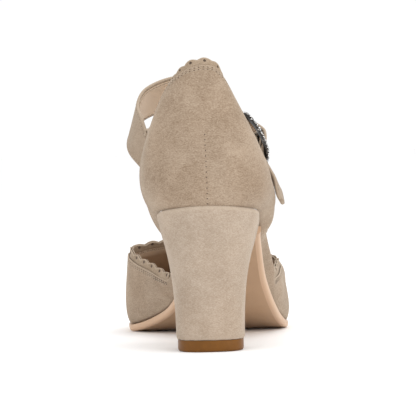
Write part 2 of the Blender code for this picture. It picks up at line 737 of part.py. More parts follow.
def rod(name, ends, radius, material, sides=10):
    """A straight round rod between two points."""
    start, end = ends
    span = end - start
    mesh = bpy.data.meshes.new(name)
    mesh_edit = bmesh.new()
    bmesh.ops.create_cone(
        mesh_edit, cap_ends=True, segments=sides, radius1=radius, radius2=radius, depth=span.length
    )
    mesh_edit.to_mesh(mesh)
    mesh_edit.free()
    mesh.shade_smooth()
    mesh.set_sharp_from_angle(angle=math.radians(40.0))
    mesh.materials.append(material)
    piece = bpy.data.objects.new(name, mesh)
    piece.location = (start + end) / 2
    piece.rotation_mode = "QUATERNION"
    piece.rotation_quaternion = span.to_track_quat("Z", "Y")
    return piece


def make_buckle_bar(material):
    middle, _, wide, _ = buckle_frame_axes()
    half = FRAME_WIDTH / 2 - FRAME_RIM - GAP
    return rod("buckle_bar", (middle - wide * half, middle + wide * half), BAR_RADIUS, material)


def make_prong(material):
    """Lies along the strap, from over the bar to the frame's lower side."""
    middle, run, _, out = buckle_frame_axes()
    start = middle + run * PRONG_START + out * PRONG_RISE
    tip = middle + run * (FRAME_LENGTH - FRAME_RIM) / 2
    tip += out * (FRAME_THICK / 2 + BEAD + GAP + PRONG_RADIUS)
    return rod("buckle_prong", (start, tip), PRONG_RADIUS, material)


def make_tab(material):
    """A suede loop round the bar, its two legs pressed together on the quarter's edge."""
    middle, run, wide, out = buckle_frame_axes()
    radius = BAR_RADIUS + GAP + TAB_THICK / 2
    pressed = (TAB_THICK + GAP) / 2
    turns = 9
    columns = 3
    strips = []
    for k in range(columns):
        share = k / (columns - 1)
        side_shift = wide * TAB_WIDTH * (share - 0.5)
        station = TAB_STATIONS[0] + (TAB_STATIONS[1] - TAB_STATIONS[0]) * share
        top, rise, inward = edge_frame("outer", station)
        foot = top + inward * WALL / 2 + rise * GAP * 2
        bend = middle + run * TAB_PRESS - out * (TAB_DROP + pressed) + side_shift
        strip = [foot - inward * pressed, bend + out * pressed]
        for turn in range(turns + 1):
            angle = TAB_TURN_FROM + (TAB_TURN_TO - TAB_TURN_FROM) * turn / turns
            away = out * math.cos(angle) - run * math.sin(angle)
            strip.append(middle + side_shift + away * radius)
        strip += [bend - out * pressed, foot + inward * pressed]
        strips.append(strip)
    rows = [list(row) for row in zip(*strips)]
    faces = []
    for i in range(len(rows) - 1):
        for k in range(columns - 1):
            a, b = i * columns + k, (i + 1) * columns + k
            faces.append((a, a + 1, b + 1, b))
    mesh = bpy.data.meshes.new("buckle_tab")
    mesh.from_pydata([tuple(point) for row in rows for point in row], [], faces)
    mesh.shade_smooth()
    mesh.materials.append(material)
    return thicken(bpy.data.objects.new("buckle_tab", mesh), TAB_THICK, 0.0)


def build():
    for leftover in list(bpy.data.objects):
        bpy.data.objects.remove(leftover)
    suede = (0.46, 0.37, 0.29)
    pieces = [
        make_upper(paint("upper suede", suede, 0.9)),
        make_outsole(paint("sole leather", (0.57, 0.38, 0.24), 0.5)),
        make_insole(paint("insole leather", (0.44, 0.31, 0.20), 0.6)),
        make_heel(paint("heel suede", (0.52, 0.43, 0.34), 0.9)),
        make_top_piece(paint("top piece rubber", (0.22, 0.09, 0.02), 0.45)),
        make_collar_trim(paint("collar trim suede", suede, 0.9)),
        make_vamp_trim(paint("vamp trim suede", suede, 0.9)),
        make_strap(paint("strap suede", suede, 0.9)),
        make_buckle_frame(paint("frame silver", (0.30, 0.29, 0.28), 0.35, 1.0)),
        make_buckle_bar(paint("bar silver", (0.5, 0.5, 0.48), 0.3, 1.0)),
        make_prong(paint("prong silver", (0.5, 0.5, 0.48), 0.3, 1.0)),
        make_tab(paint("tab suede", suede, 0.9)),
    ]
    collection = bpy.data.collections.new("dirndl_pump")
    bpy.context.scene.collection.children.link(collection)
    last = bpy.data.objects.new("last_frame", None)
    last.location = (0.0, -(FOOT_BACK + FOOT_FRONT) / 2, 0.0)
    collection.objects.link(last)
    for piece in pieces:
        collection.objects.link(piece)
        piece.parent = last


build()
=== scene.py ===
"""Looks of a dirndl pump: suede, lining, stitches, scalloped trims, covered heel and an old-silver buckle.
Metres in the part's frame: heel rest at the origin, toe along +Y, outer side of the foot along +X."""

import math
import random

import bmesh
import bpy
import numpy as np
from mathutils import Matrix, Vector


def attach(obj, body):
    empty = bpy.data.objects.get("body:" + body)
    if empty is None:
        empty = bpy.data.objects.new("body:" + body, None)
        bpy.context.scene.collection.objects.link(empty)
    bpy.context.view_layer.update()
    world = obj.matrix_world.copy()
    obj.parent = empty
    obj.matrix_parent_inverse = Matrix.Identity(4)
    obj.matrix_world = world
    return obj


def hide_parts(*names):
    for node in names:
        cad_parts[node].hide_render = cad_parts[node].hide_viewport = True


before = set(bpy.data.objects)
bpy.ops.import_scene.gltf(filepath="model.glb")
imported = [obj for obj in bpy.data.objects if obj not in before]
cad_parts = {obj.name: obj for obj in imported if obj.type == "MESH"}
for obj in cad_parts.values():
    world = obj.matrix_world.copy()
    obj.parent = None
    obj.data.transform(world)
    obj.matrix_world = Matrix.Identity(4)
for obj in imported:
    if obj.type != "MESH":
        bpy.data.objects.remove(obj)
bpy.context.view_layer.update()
chance = random.Random(11)

# The last and the cut of the upper, the same sizes as in the part
LENGTH = 0.228
BALL_WIDTH = 0.0854
INSTEP = 0.086
SEAT_HEIGHT = 0.0687
TOE_SPRING = 0.0062
WALL = 0.0018
GAP = 0.0003
SEAT_BACK = 0.0025
HEEL_CENTRE = 0.031
TOE_START = 0.171
TOE_TIP_IN = 0.0055
HEEL_ROUNDNESS = 2.2
TOE_ROUNDNESS = 2.08
SOLE_THICK = 0.0035
BALL_HEIGHT = SOLE_THICK + GAP
SOLE_EDGE = 0.0008
SOLE_BEVEL = 0.0016
SOLE_SIDE = 0.0019
HEEL_BREAST = 0.050
BREAST_ROUNDNESS = 9.0
FOOT_WIDTH = 0.0316
FOOT_BACK = 0.0060
FOOT_FRONT = 0.0400
FOOT_ROUNDNESS = 2.6
TOP_PIECE = 0.0053
TOP_PIECE_INSET = 0.0006
INSOLE_THICK = 0.0022
INSOLE_INSET = 0.0026
STRAP_WIDTH = 0.0245
STRAP_THICK = 0.0016
TAB_WIDTH = 0.0120
TAB_THICK = 0.0008
FRAME_LENGTH = 0.0262
FRAME_WIDTH = 0.0245
FRAME_RIM = 0.0030
FRAME_THICK = 0.0018
FRAME_CORNERS = 0.45
BAR_RADIUS = 0.0008
PRONG_RADIUS = 0.0005
PRONG_START = 0.0048
PRONG_RISE = 0.0033
SCALLOP = 0.0060
SCALLOP_DEPTH = 0.0013
TRIM_THICK = 0.0009
HOLE_RADIUS = 0.00062
HOLE_UNDER_TIP = 0.0015
COLLAR_TRIM_HIGH = 0.0038
VAMP_TRIM_HIGH = 0.0042
VAMP_SCALLOP = 0.0078
VAMP_HOLE_RADIUS = 0.0008
VAMP_TRIM_LAYERS = (0.0, 0.0008)  # how far into the shoe each of its two layers stands
TRIM_INSIDE = 0.0011  # the trim's middle from the fold, into the shoe
TRIM_FOOT = -0.0002  # the trim's lower edge, which the fold hides
ORIGIN_BACK = (FOOT_BACK + FOOT_FRONT) / 2  # the origin from the heel's back

# The featherline along the last: its rise as a share of the seat's, then its half widths
RISES = [
    (0.000, 1.000), (0.066, 0.962), (0.132, 0.912), (0.197, 0.838), (0.263, 0.727), (0.329, 0.592),
    (0.395, 0.444), (0.461, 0.302), (0.526, 0.177), (0.592, 0.080), (0.650, 0.022), (0.700, 0.000),
    (1.000, 0.000),
]
OUTLINE = [
    (0.000, 0.279, 0.283), (0.136, 0.279, 0.283), (0.197, 0.254, 0.286), (0.250, 0.217, 0.281),
    (0.330, 0.183, 0.293), (0.400, 0.173, 0.310), (0.470, 0.187, 0.342), (0.530, 0.234, 0.375),
    (0.590, 0.322, 0.407), (0.650, 0.420, 0.440), (0.700, 0.475, 0.457), (0.750, 0.483, 0.455),
    (1.000, 0.483, 0.455),
]

# Station, then the folded edge (along, across, up) and the rib's low and high handles (out, up)
INNER_RIBS = [
    (0.000, 0.035, 0.012, 0.730, 0.055, 0.20, 0.058, -0.19),
    (0.250, 0.039, 0.070, 0.723, 0.070, 0.18, 0.075, -0.20),
    (0.500, 0.050, 0.135, 0.700, 0.100, 0.15, 0.100, -0.21),
    (0.750, 0.079, 0.211, 0.645, 0.125, 0.13, 0.120, -0.22),
    (1.000, 0.118, 0.258, 0.556, 0.130, 0.12, 0.115, -0.21),
    (1.070, 0.165, 0.296, 0.516, 0.150, 0.12, 0.090, -0.19),
    (1.136, 0.211, 0.316, 0.505, 0.155, 0.12, 0.070, -0.17),
    (1.186, 0.239, 0.330, 0.535, 0.145, 0.12, 0.045, -0.17),
    (1.214, 0.263, 0.354, 0.472, 0.140, 0.11, 0.030, -0.13),
    (1.243, 0.288, 0.365, 0.400, 0.125, 0.10, 0.012, -0.10),
    (1.264, 0.303, 0.328, 0.229, 0.080, 0.06, 0.008, -0.06),
    (1.293, 0.320, 0.250, 0.120, 0.015, 0.03, 0.000, -0.03),
    (1.350, 0.351, 0.222, 0.092, 0.010, 0.03, 0.002, -0.03),
    (1.436, 0.404, 0.211, 0.085, 0.008, 0.03, 0.004, -0.03),
    (1.514, 0.452, 0.224, 0.082, 0.008, 0.03, 0.004, -0.03),
    (1.557, 0.482, 0.246, 0.085, 0.010, 0.03, 0.006, -0.03),
    (1.607, 0.509, 0.284, 0.137, 0.020, 0.05, 0.018, -0.05),
    (1.693, 0.557, 0.356, 0.240, 0.055, 0.08, 0.016, -0.09),
    (1.764, 0.602, 0.430, 0.316, 0.062, 0.07, 0.014, -0.11),
    (1.850, 0.647, 0.480, 0.388, 0.066, 0.06, 0.008, -0.12),
    (2.000, 0.689, 0.484, 0.421, 0.036, 0.08, 0.012, -0.12),
    (2.150, 0.704, 0.441, 0.430, 0.025, 0.12, 0.080, -0.12),
    (2.300, 0.717, 0.380, 0.438, 0.030, 0.13, 0.150, -0.13),
    (2.500, 0.728, 0.287, 0.430, 0.030, 0.13, 0.230, -0.16),
    (2.750, 0.736, 0.164, 0.418, 0.030, 0.13, 0.300, -0.19),
    (3.000, 0.738, 0.035, 0.414, 0.030, 0.13, 0.320, -0.20),
]
OUTER_RIBS = [
    (0.000, 0.035, -0.012, 0.730, 0.055, 0.20, 0.058, -0.19),
    (0.250, 0.038, 0.040, 0.728, 0.070, 0.18, 0.075, -0.20),
    (0.500, 0.050, 0.096, 0.690, 0.100, 0.15, 0.100, -0.22),
    (0.750, 0.077, 0.148, 0.612, 0.125, 0.13, 0.125, -0.22),
    (1.000, 0.118, 0.194, 0.520, 0.145, 0.12, 0.125, -0.21),
    (1.070, 0.162, 0.241, 0.445, 0.150, 0.12, 0.090, -0.17),
    (1.136, 0.206, 0.273, 0.425, 0.180, 0.11, 0.060, -0.15),
    (1.186, 0.246, 0.289, 0.430, 0.180, 0.11, 0.035, -0.14),
    (1.214, 0.272, 0.316, 0.360, 0.160, 0.09, 0.022, -0.10),
    (1.243, 0.291, 0.337, 0.240, 0.070, 0.07, 0.010, -0.07),
    (1.264, 0.305, 0.338, 0.142, 0.040, 0.04, 0.006, -0.04),
    (1.293, 0.325, 0.331, 0.100, 0.015, 0.03, 0.004, -0.03),
    (1.350, 0.355, 0.342, 0.092, 0.010, 0.03, 0.006, -0.03),
    (1.436, 0.408, 0.365, 0.086, 0.010, 0.03, 0.006, -0.03),
    (1.514, 0.456, 0.382, 0.080, 0.010, 0.03, 0.006, -0.03),
    (1.557, 0.482, 0.383, 0.078, 0.010, 0.03, 0.006, -0.03),
    (1.621, 0.522, 0.394, 0.135, 0.020, 0.05, 0.015, -0.05),
    (1.707, 0.570, 0.416, 0.215, 0.040, 0.07, 0.025, -0.07),
    (1.793, 0.618, 0.426, 0.282, 0.040, 0.08, 0.018, -0.08),
    (1.864, 0.658, 0.434, 0.320, 0.045, 0.08, 0.014, -0.09),
    (2.000, 0.691, 0.427, 0.342, 0.045, 0.09, 0.028, -0.10),
    (2.150, 0.708, 0.414, 0.357, 0.028, 0.10, 0.070, -0.10),
    (2.300, 0.724, 0.381, 0.375, 0.030, 0.12, 0.160, -0.11),
    (2.500, 0.734, 0.290, 0.395, 0.030, 0.13, 0.230, -0.14),
    (2.750, 0.738, 0.130, 0.408, 0.030, 0.13, 0.300, -0.18),
    (3.000, 0.738, -0.035, 0.414, 0.030, 0.13, 0.320, -0.20),
]
SIGN = {"inner": -1.0, "outer": 1.0}

# How far the upper comes down over the heel seat, by station
SEAT_DROPS = [(0.00, 0.0015), (0.45, 0.0018), (0.80, 0.0012), (1.00, 0.0005), (1.15, 0.0001), (3.00, 0.0001)]

# The heel's flare: share of its height, then how much of the seat's width and depth it has there
HEEL_LEVELS = [
    (0.00, 0.000, 0.00), (0.18, 0.030, 0.10), (0.36, 0.110, 0.26), (0.54, 0.260, 0.46),
    (0.70, 0.480, 0.66), (0.85, 0.760, 0.84), (1.00, 1.000, 1.00),
]

# Strap's middle line (across, along, up), its direction across, and its share of the full width
STRAP = [
    (-0.392, 0.305, 0.361, -0.27, 0.63, -0.73, 0.98),
    (-0.407, 0.349, 0.436, -0.22, 0.68, -0.70, 1.00),
    (-0.365, 0.388, 0.519, -0.12, 0.76, -0.64, 1.00),
    (-0.283, 0.410, 0.570, -0.08, 0.77, -0.63, 1.00),
    (-0.170, 0.423, 0.601, -0.04, 0.77, -0.63, 1.00),
    (-0.047, 0.428, 0.612, 0.00, 0.775, -0.63, 1.00),
    (0.060, 0.417, 0.595, 0.08, 0.79, -0.60, 0.97),
    (0.112, 0.386, 0.556, 0.12, 0.83, -0.54, 0.90),
    (0.142, 0.345, 0.503, 0.12, 0.87, -0.48, 0.82),
]
# The strap through the buckle: place along the frame, and height over the bar in strap thicknesses
THREADING = [
    (-1.12, -1.34), (-0.74, -1.52), (-0.42, 0.60), (-0.10, 1.90),
    (0.10, 1.90), (0.42, 0.60), (0.74, -1.43), (1.12, -1.30),
]
# The strap's tail, with the columns of its middle line
TAIL = [
    (0.384, 0.240, 0.083, 0.15, 0.93, -0.34, 0.71),
    (0.398, 0.234, 0.030, 0.19, 0.92, -0.34, 0.70),
    (0.405, 0.230, -0.005, 0.20, 0.92, -0.34, 0.58),
    (0.412, 0.227, -0.020, 0.20, 0.92, -0.34, 0.34),
]
STRAP_AT_BUCKLE = 0.69
ROOT_STATIONS = (1.186, 1.205, 1.224, 1.243)
COLLAR_TRIM_ENDS = (1.191, 1.150)
VAMP_TRIM_START = 1.560
TRIM_LEAN = 0.55
LEAN_START = 1.9

BUCKLE_MIDDLE = Vector((0.280 * BALL_WIDTH, 0.281 * LENGTH - ORIGIN_BACK, SEAT_HEIGHT + 0.324 * INSTEP))
BUCKLE_RUN = Vector((0.46, -0.294, -0.839)).normalized()
BUCKLE_WIDE = Vector((-0.099, 0.918, -0.383))
BUCKLE_WIDE = (BUCKLE_WIDE - BUCKLE_RUN * BUCKLE_WIDE.dot(BUCKLE_RUN)).normalized()
BUCKLE_OUT = BUCKLE_RUN.cross(BUCKLE_WIDE)
ARCH = 0.0018  # how far the frame's ends bend towards the foot
TAB_STATIONS = (1.162, 1.205)
TAB_PRESS = 0.0052
TAB_DROP = 0.0017

# Folds, skins and sewing
FOLD_DEPTH = 0.0008  # how far the suede turns in at its fold
STITCH_PITCH = 0.0021
STITCH_LONG = 0.0014
SEAM_PITCH = 0.00235
THREAD = 0.00020
NEEDLE_HOLE = (0.00030, 0.00016)  # radius and height of the dark spot, painted shade of a needle hole
SEAM_HOLE = (0.00036, 0.00016)
SUEDE_THICK = 0.00075
LINING_THICK = 0.0005
STRAP_LINING_IN = 0.0016  # the strap's lining from the strap's edge
EDGE_ROWS = (0.0011, 0.0021)  # double row under the fold
STRAP_ROW = 0.0017
QUARTER_END = 1.200  # station where the quarter's front edge meets the sole
QUARTER_SLANT = 0.090  # how much further forward it is at the strip's top
SIDE_STRIP_HIGH = 0.009
STEP_HIGH = 0.0004  # the side strip lies this much deeper than quarter and vamp
HEEL_SEWING_END = 1.285  # stations where the stitched rows end and start again
TOE_SEWING_START = 1.568
ROW_DENT = 0.00013  # how deep a stitched row pulls in the suede
LINING_DENT = 0.00010
DENT_WIDE = 0.00030
STRAP_DENT = 0.00012
STRAP_LINING_PROUD = 0.00022
DISC_HALF = 0.00012  # half of the thickness of a dark disc, painted shade in a punched hole
TRIM_CURL = 0.00024
SOFT_EDGE = 0.00012


# Curves and the last's surface

def curve_at(rows, column, x):
    """Smooth value of a table's column at x, which is its first column."""
    xs = [row[0] for row in rows]
    ys = [row[column] for row in rows]
    if x <= xs[0]:
        return ys[0]
    if x >= xs[-1]:
        return ys[-1]
    slopes = [(ys[i + 1] - ys[i]) / (xs[i + 1] - xs[i]) for i in range(len(xs) - 1)]
    i = max(k for k in range(len(xs) - 1) if xs[k] <= x)
    tangents = []
    for k in (i, i + 1):
        if k in (0, len(xs) - 1):
            tangents.append(slopes[0] if k == 0 else slopes[-1])
        elif slopes[k - 1] * slopes[k] <= 0.0:
            tangents.append(0.0)
        else:
            tangents.append(2.0 * slopes[k - 1] * slopes[k] / (slopes[k - 1] + slopes[k]))
    step = xs[i + 1] - xs[i]
    t = (x - xs[i]) / step
    return (
        (2 * t**3 - 3 * t**2 + 1) * ys[i]
        + (t**3 - 2 * t**2 + t) * step * tangents[0]
        + (3 * t**2 - 2 * t**3) * ys[i + 1]
        + (t**3 - t**2) * step * tangents[1]
    )


def turns_round(count):
    return [2 * math.pi * k / count for k in range(count)]


def rounded(share, power):
    """A sine or cosine bent towards a rectangle, with its sign."""
    return math.copysign(abs(share) ** power, share)


def feather_height(y):
    """Height of the featherline, where upper and sole meet."""
    spring = max(0.0, (y - TOE_START) / (LENGTH - TOE_START)) ** 2 * TOE_SPRING
    return BALL_HEIGHT + (SEAT_HEIGHT - BALL_HEIGHT) * curve_at(RISES, 1, y / LENGTH) + spring


def outline_half(side, y):
    """Half width of the featherline on one side."""
    return curve_at(OUTLINE, 1 if side == "inner" else 2, y / LENGTH) * BALL_WIDTH


def quarter_turn(angle, roundness):
    return math.sin(angle) ** (2 / roundness), math.cos(angle) ** (2 / roundness)


def feather_plan(side, station):
    """Place on the featherline: station 0 is the back, 1 to 2 the side, 3 the toe's tip."""
    centre, wide = 0.0, 1.0
    if station < 1.0:
        deep, wide = quarter_turn((1.0 - station) * math.pi / 2, HEEL_ROUNDNESS)
        y = HEEL_CENTRE - (HEEL_CENTRE - SEAT_BACK) * deep
    elif station <= 2.0:
        y = HEEL_CENTRE + (station - 1.0) * (TOE_START - HEEL_CENTRE)
    else:
        deep, wide = quarter_turn((station - 2.0) * math.pi / 2, TOE_ROUNDNESS)
        y = TOE_START + (LENGTH - SOLE_EDGE - TOE_START) * deep
        centre = -TOE_TIP_IN * deep**2
    return centre + SIGN[side] * outline_half(side, y) * wide, y


def outward(side, station):
    """The level way out of the shoe at the featherline."""
    step = 0.02
    if station < step:
        return np.array((0.0, -1.0, 0.0))
    if station > 3.0 - step:
        return np.array((0.0, 1.0, 0.0))
    x0, y0 = feather_plan(side, station - step)
    x1, y1 = feather_plan(side, station + step)
    along = np.array((x1 - x0, y1 - y0)) / math.hypot(x1 - x0, y1 - y0)
    return np.array((along[1], -along[0], 0.0)) * SIGN[side]


def rib_handles(side, station):
    """Foot, low handle, high handle and folded edge of one rib, in the part's frame."""
    rows = INNER_RIBS if side == "inner" else OUTER_RIBS
    x, y = feather_plan(side, station)
    foot = np.array((x, y, feather_height(y)))
    out = outward(side, station)
    up = np.array((0.0, 0.0, 1.0))
    along, across, top_up, low_out, low_up, high_out, high_up = [
        curve_at(rows, column, station) for column in range(1, 8)
    ]
    top = np.array((SIGN[side] * across * BALL_WIDTH, along * LENGTH, foot[2] + top_up * INSTEP))
    low = foot + out * low_out * INSTEP + up * low_up * INSTEP
    high = top + out * high_out * INSTEP + up * high_up * INSTEP
    shift = np.array((0.0, ORIGIN_BACK, 0.0))
    return np.array((foot - shift, low - shift, high - shift, top - shift))


def on_rib(handles, t):
    """Point of a rib's curve, 0 at the featherline and 1 at the fold."""
    t = np.asarray(t, float)[..., None]
    s = 1.0 - t
    return handles[0] * s**3 + handles[1] * 3 * s**2 * t + handles[2] * 3 * s * t**2 + handles[3] * t**3


def unit(rows):
    rows = np.asarray(rows, float)
    return rows / np.maximum(np.linalg.norm(rows, axis=-1, keepdims=True), 1e-12)


def bell(x, width):
    """1 where x is 0, and close to 0 from twice the width on."""
    return np.exp(-((x / width) ** 2))


def smooth_step(x, low, high):
    t = np.clip((np.asarray(x, float) - low) / (high - low), 0.0, 1.0)
    return t * t * (3 - 2 * t)


def reach_along(points):
    """Each point's distance from the first one, along the line."""
    return np.concatenate(([0.0], np.cumsum(np.linalg.norm(np.diff(points, axis=0), axis=1))))


def at_reach(at, reach, rows):
    """Rows of a line at distances along it."""
    return np.stack([np.interp(at, reach, rows[:, k]) for k in range(3)], axis=-1)


def edge_frame(side, station):
    """Folded edge: its point, the way the wall runs out of it, and the way into the shoe."""
    handles = rib_handles(side, station)
    step = 0.004
    behind = rib_handles(side, max(0.0, station - step))[3]
    ahead = rib_handles(side, min(3.0, station + step))[3]
    along = unit(ahead - behind)
    rise = unit(handles[3] - handles[2])
    inward = np.cross(along, rise) * -SIGN[side]
    rise = np.cross(inward, along) * -SIGN[side]
    return handles[3], unit(rise), unit(inward)


# Meshes

def piece(name, points, faces, material, replaces=(), values=None, sharp=35.0):
    """An object from points and faces, on the part's one body. Values are numbers for each point, 0 to 1."""
    mesh = bpy.data.meshes.new(name)
    mesh.from_pydata([tuple(map(float, point)) for point in points], [], faces)
    skins = bmesh.new()
    skins.from_mesh(mesh)
    bmesh.ops.recalc_face_normals(skins, faces=skins.faces)
    skins.to_mesh(mesh)
    skins.free()
    mesh.shade_smooth()
    mesh.set_sharp_from_angle(angle=math.radians(sharp))
    mesh.materials.append(material)
    for label, numbers in (values or {}).items():
        layer = mesh.attributes.new(label, "FLOAT", "POINT")
        layer.data.foreach_set("value", np.asarray(numbers, np.float32).ravel().clip(0.0, 1.0))
    obj = bpy.data.objects.new(name, mesh)
    bpy.context.scene.collection.objects.link(obj)
    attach(obj, "root")
    if replaces:
        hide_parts(*replaces)
    return obj


def grid_faces(columns, rows):
    """Faces of an open sheet."""
    faces = []
    for i in range(columns - 1):
        a, b = i * rows, (i + 1) * rows
        faces += [(a + k, a + k + 1, b + k + 1, b + k) for k in range(rows - 1)]
    return faces


def tube_faces(rings, sides, closed=False, caps=True):
    """Faces of a tube, closed into a ring or ended with caps."""
    faces = []
    for i in range(rings if closed else rings - 1):
        a, b = i * sides, (i + 1) % rings * sides
        faces += [(a + k, a + (k + 1) % sides, b + (k + 1) % sides, b + k) for k in range(sides)]
    if caps and not closed:
        faces.append(tuple(reversed(range(sides))))
        faces.append(tuple((rings - 1) * sides + k for k in range(sides)))
    return faces


class Heap:
    """Many small solids gathered into one mesh."""

    def __init__(self):
        self.points = []
        self.faces = []

    def add(self, points, faces):
        start = len(self.points)
        self.points += [tuple(map(float, point)) for point in points]
        self.faces += [tuple(start + k for k in face) for face in faces]

    def rod(self, start, end, radius, flat=1.0, up=None, sides=8, taper=0.35):
        """A short rounded rod, flattened towards up."""
        start, end = np.asarray(start, float), np.asarray(end, float)
        along = unit(end - start)
        up = unit(np.cross(along, (0.3, 0.5, 0.81))) if up is None else np.asarray(up, float)
        side = unit(np.cross(along, up))
        up = np.cross(side, along)
        points = []
        profile = ((0.0, taper), (0.14, 0.85), (0.35, 1.0), (0.65, 1.0), (0.86, 0.85), (1.0, taper))
        for share, wide in profile:
            middle = start + (end - start) * share
            for turn in turns_round(sides):
                points.append(middle + (side * math.cos(turn) + up * math.sin(turn) * flat) * radius * wide)
        self.add(points, tube_faces(len(profile), sides))

    def dome(self, middle, up, radius, high, sides=10, rings=3):
        """A low round button standing on its middle."""
        middle, up = np.asarray(middle, float), unit(up)
        across = unit(np.cross(up, (0.37, 0.61, 0.70)))
        other = np.cross(up, across)
        points = []
        for ring in range(rings):
            tilt = math.pi / 2 * ring / rings
            for turn in turns_round(sides):
                spoke = across * math.cos(turn) + other * math.sin(turn)
                points.append(middle + spoke * radius * math.cos(tilt) + up * high * math.sin(tilt))
        points.append(middle + up * high)
        last = (rings - 1) * sides
        faces = [(last + k, last + (k + 1) % sides, rings * sides) for k in range(sides)]
        for ring in range(rings - 1):
            a, b = ring * sides, (ring + 1) * sides
            faces += [(a + k, a + (k + 1) % sides, b + (k + 1) % sides, b + k) for k in range(sides)]
        faces.append(tuple(reversed(range(sides))))
        self.add(points, faces)

    def piece(self, name, material, slot, replaces=()):
        return piece(name, self.points, self.faces, material, replaces, sharp=50.0)


def even_line(points, normals, pitch):
    """Points and normals at an even pitch along a line."""
    points, normals = np.asarray(points, float), np.asarray(normals, float)
    reach = reach_along(points)
    at = np.linspace(0.0, reach[-1], max(2, round(reach[-1] / pitch) + 1))
    return at_reach(at, reach, points), unit(at_reach(at, reach, normals))


def sew(threads, holes, points, normals):
    """A row of stitches on a line, with a dark spot of painted shade for a needle hole between each two."""
    there, facing = even_line(points, normals, STITCH_PITCH)
    for i in range(len(there) - 1):
        a, b = there[i], there[i + 1]
        up = unit(facing[i] + facing[i + 1])
        middle = (a + b) / 2 + up * THREAD / 4
        half = unit(b - a) * min(STITCH_LONG, np.linalg.norm(b - a) * 0.72) / 2
        threads.rod(middle - half, middle + half, THREAD, 0.75, up, 6)
        holes.dome(a - facing[i] * 0.00004, facing[i], *NEEDLE_HOLE, 8, 2)


# Finishes

class Wire:
    """A node's output that can be added, multiplied and compared like a number."""

    def __init__(self, finish, socket):
        self.finish = finish
        self.socket = socket

    def maths(self, operation, first, second):
        return self.finish.node("ShaderNodeMath", {"operation": operation}, {0: first, 1: second})

    def __add__(self, other):
        return self.maths("ADD", self, other)

    def __radd__(self, other):
        return self.maths("ADD", other, self)

    def __sub__(self, other):
        return self.maths("SUBTRACT", self, other)

    def __rsub__(self, other):
        return self.maths("SUBTRACT", other, self)

    def __mul__(self, other):
        return self.maths("MULTIPLY", self, other)

    def __rmul__(self, other):
        return self.maths("MULTIPLY", other, self)

    def clamped(self):
        return self.finish.node("ShaderNodeClamp", {}, {"Value": self})

    def power(self, other):
        return self.maths("POWER", self, other)


class Finish:
    """A material with a Principled shader; constants go on the shader's own sockets."""

    def __init__(self, name, constants):
        self.material = bpy.data.materials.new(name)
        self.material.use_nodes = True
        self.tree = self.material.node_tree
        self.shader = self.tree.nodes["Principled BSDF"]
        for socket, value in constants.items():
            self.join(self.shader.inputs[socket], value)

    def node(self, kind, settings, sockets, out=0):
        made = self.tree.nodes.new(kind)
        for name, value in settings.items():
            setattr(made, name, value)
        for name, value in sockets.items():
            self.join(made.inputs[name], value)
        return Wire(self, made.outputs[out])

    def join(self, entry, value):
        if isinstance(value, Wire):
            self.tree.links.new(value.socket, entry)
        else:
            entry.default_value = (*value, 1.0) if entry.type == "RGBA" else value

    def feed(self, **links):
        for name, wire in links.items():
            self.join(self.shader.inputs[name.replace("_", " ")], wire)

    def place(self, stretch=(1.0, 1.0, 1.0), turn=(0.0, 0.0, 0.0)):
        coordinates = self.node("ShaderNodeTexCoord", {}, {}, out="Object")
        return self.node("ShaderNodeMapping", {}, {"Vector": coordinates, "Scale": stretch, "Rotation": turn})

    def noise(self, place, scale, detail=2.0, rough=0.5, warp=0.0):
        """Uneven values either side of 0."""
        return self.node("ShaderNodeTexNoise", {}, {
            "Vector": place, "Scale": scale, "Detail": detail, "Roughness": rough, "Distortion": warp,
        }) - 0.5

    def value(self, label):
        return self.node("ShaderNodeAttribute", {"attribute_name": label}, {}, out="Fac")

    def mixed(self, share, first, second, blend="MIX"):
        return self.node(
            "ShaderNodeMix", {"data_type": "RGBA", "blend_type": blend}, {0: share, 6: first, 7: second}, out=2
        )

    def bump(self, height, distance, strength=1.0):
        return self.node("ShaderNodeBump", {}, {"Height": height, "Distance": distance, "Strength": strength})


# Colours that all suede shares, and its grain for each metre
# Colour that edges are painted towards: edge wear and painted highlight
WEAR_AND_HIGHLIGHT_NAP = (0.48, 0.39, 0.30)
# Colour of painted shade in creases, recesses and inner faces
PAINTED_SHADE_NAP = (0.14, 0.095, 0.06)
WARM_TINT = (1.0, 0.93, 0.86)
NAP_GRAIN = 1150.0
FLECK_GRAIN = 2600.0


def suede(name, dark, light, patch=60.0):
    """Brushed suede: cloudy patches where the nap lies either way, with a fine fleck and a soft sheen."""
    finish = Finish(name, {
        "Specular IOR Level": 0.12, "Sheen Weight": 0.22, "Sheen Roughness": 0.45,
        "Sheen Tint": (0.95, 0.88, 0.78),
    })
    place = finish.place()
    slanted = finish.place((1.0, 1.0, 2.4), (0.0, 0.7, 0.3))
    clouds = finish.noise(place, patch, 3.0, 0.55, 0.4)
    brushed = finish.noise(slanted, patch * 5.0, 3.0, 0.6)
    nap = finish.noise(slanted, NAP_GRAIN, 2.0, 0.6)
    fleck = finish.noise(place, FLECK_GRAIN, 2.0, 0.6)
    tone = 0.5 + clouds * 1.5 + brushed * 0.7 + nap * 2.2 + fleck * 1.2
    reddish = finish.noise(finish.place((1.0, 1.0, 0.7)), patch * 0.7, 2.0, 0.5)
    warm = (0.5 + reddish * 3.0).clamped()
    plain_nap = finish.mixed(tone.clamped(), dark, light)
    nap_colour = finish.mixed(warm * 0.35, plain_nap, WARM_TINT, "MULTIPLY")
    # Lighter where the edge value is high: edge wear and painted highlight along folds, edges and the
    # quarter's step
    wear_and_highlight = finish.mixed(finish.value("wear_and_highlight") * 0.65, nap_colour, WEAR_AND_HIGHLIGHT_NAP)
    # Darker where the shade value is high: painted shade in creases, stitched rows and recesses
    shaded = finish.mixed(finish.value("painted_shade") * 0.75, wear_and_highlight, PAINTED_SHADE_NAP)
    finish.feed(
        Base_Color=shaded,
        Roughness=0.86 + nap * 0.2,
        Normal=finish.bump(nap * 0.7 + fleck * 0.5 + brushed * 0.4, 0.00022, 0.8),
    )
    return finish.material


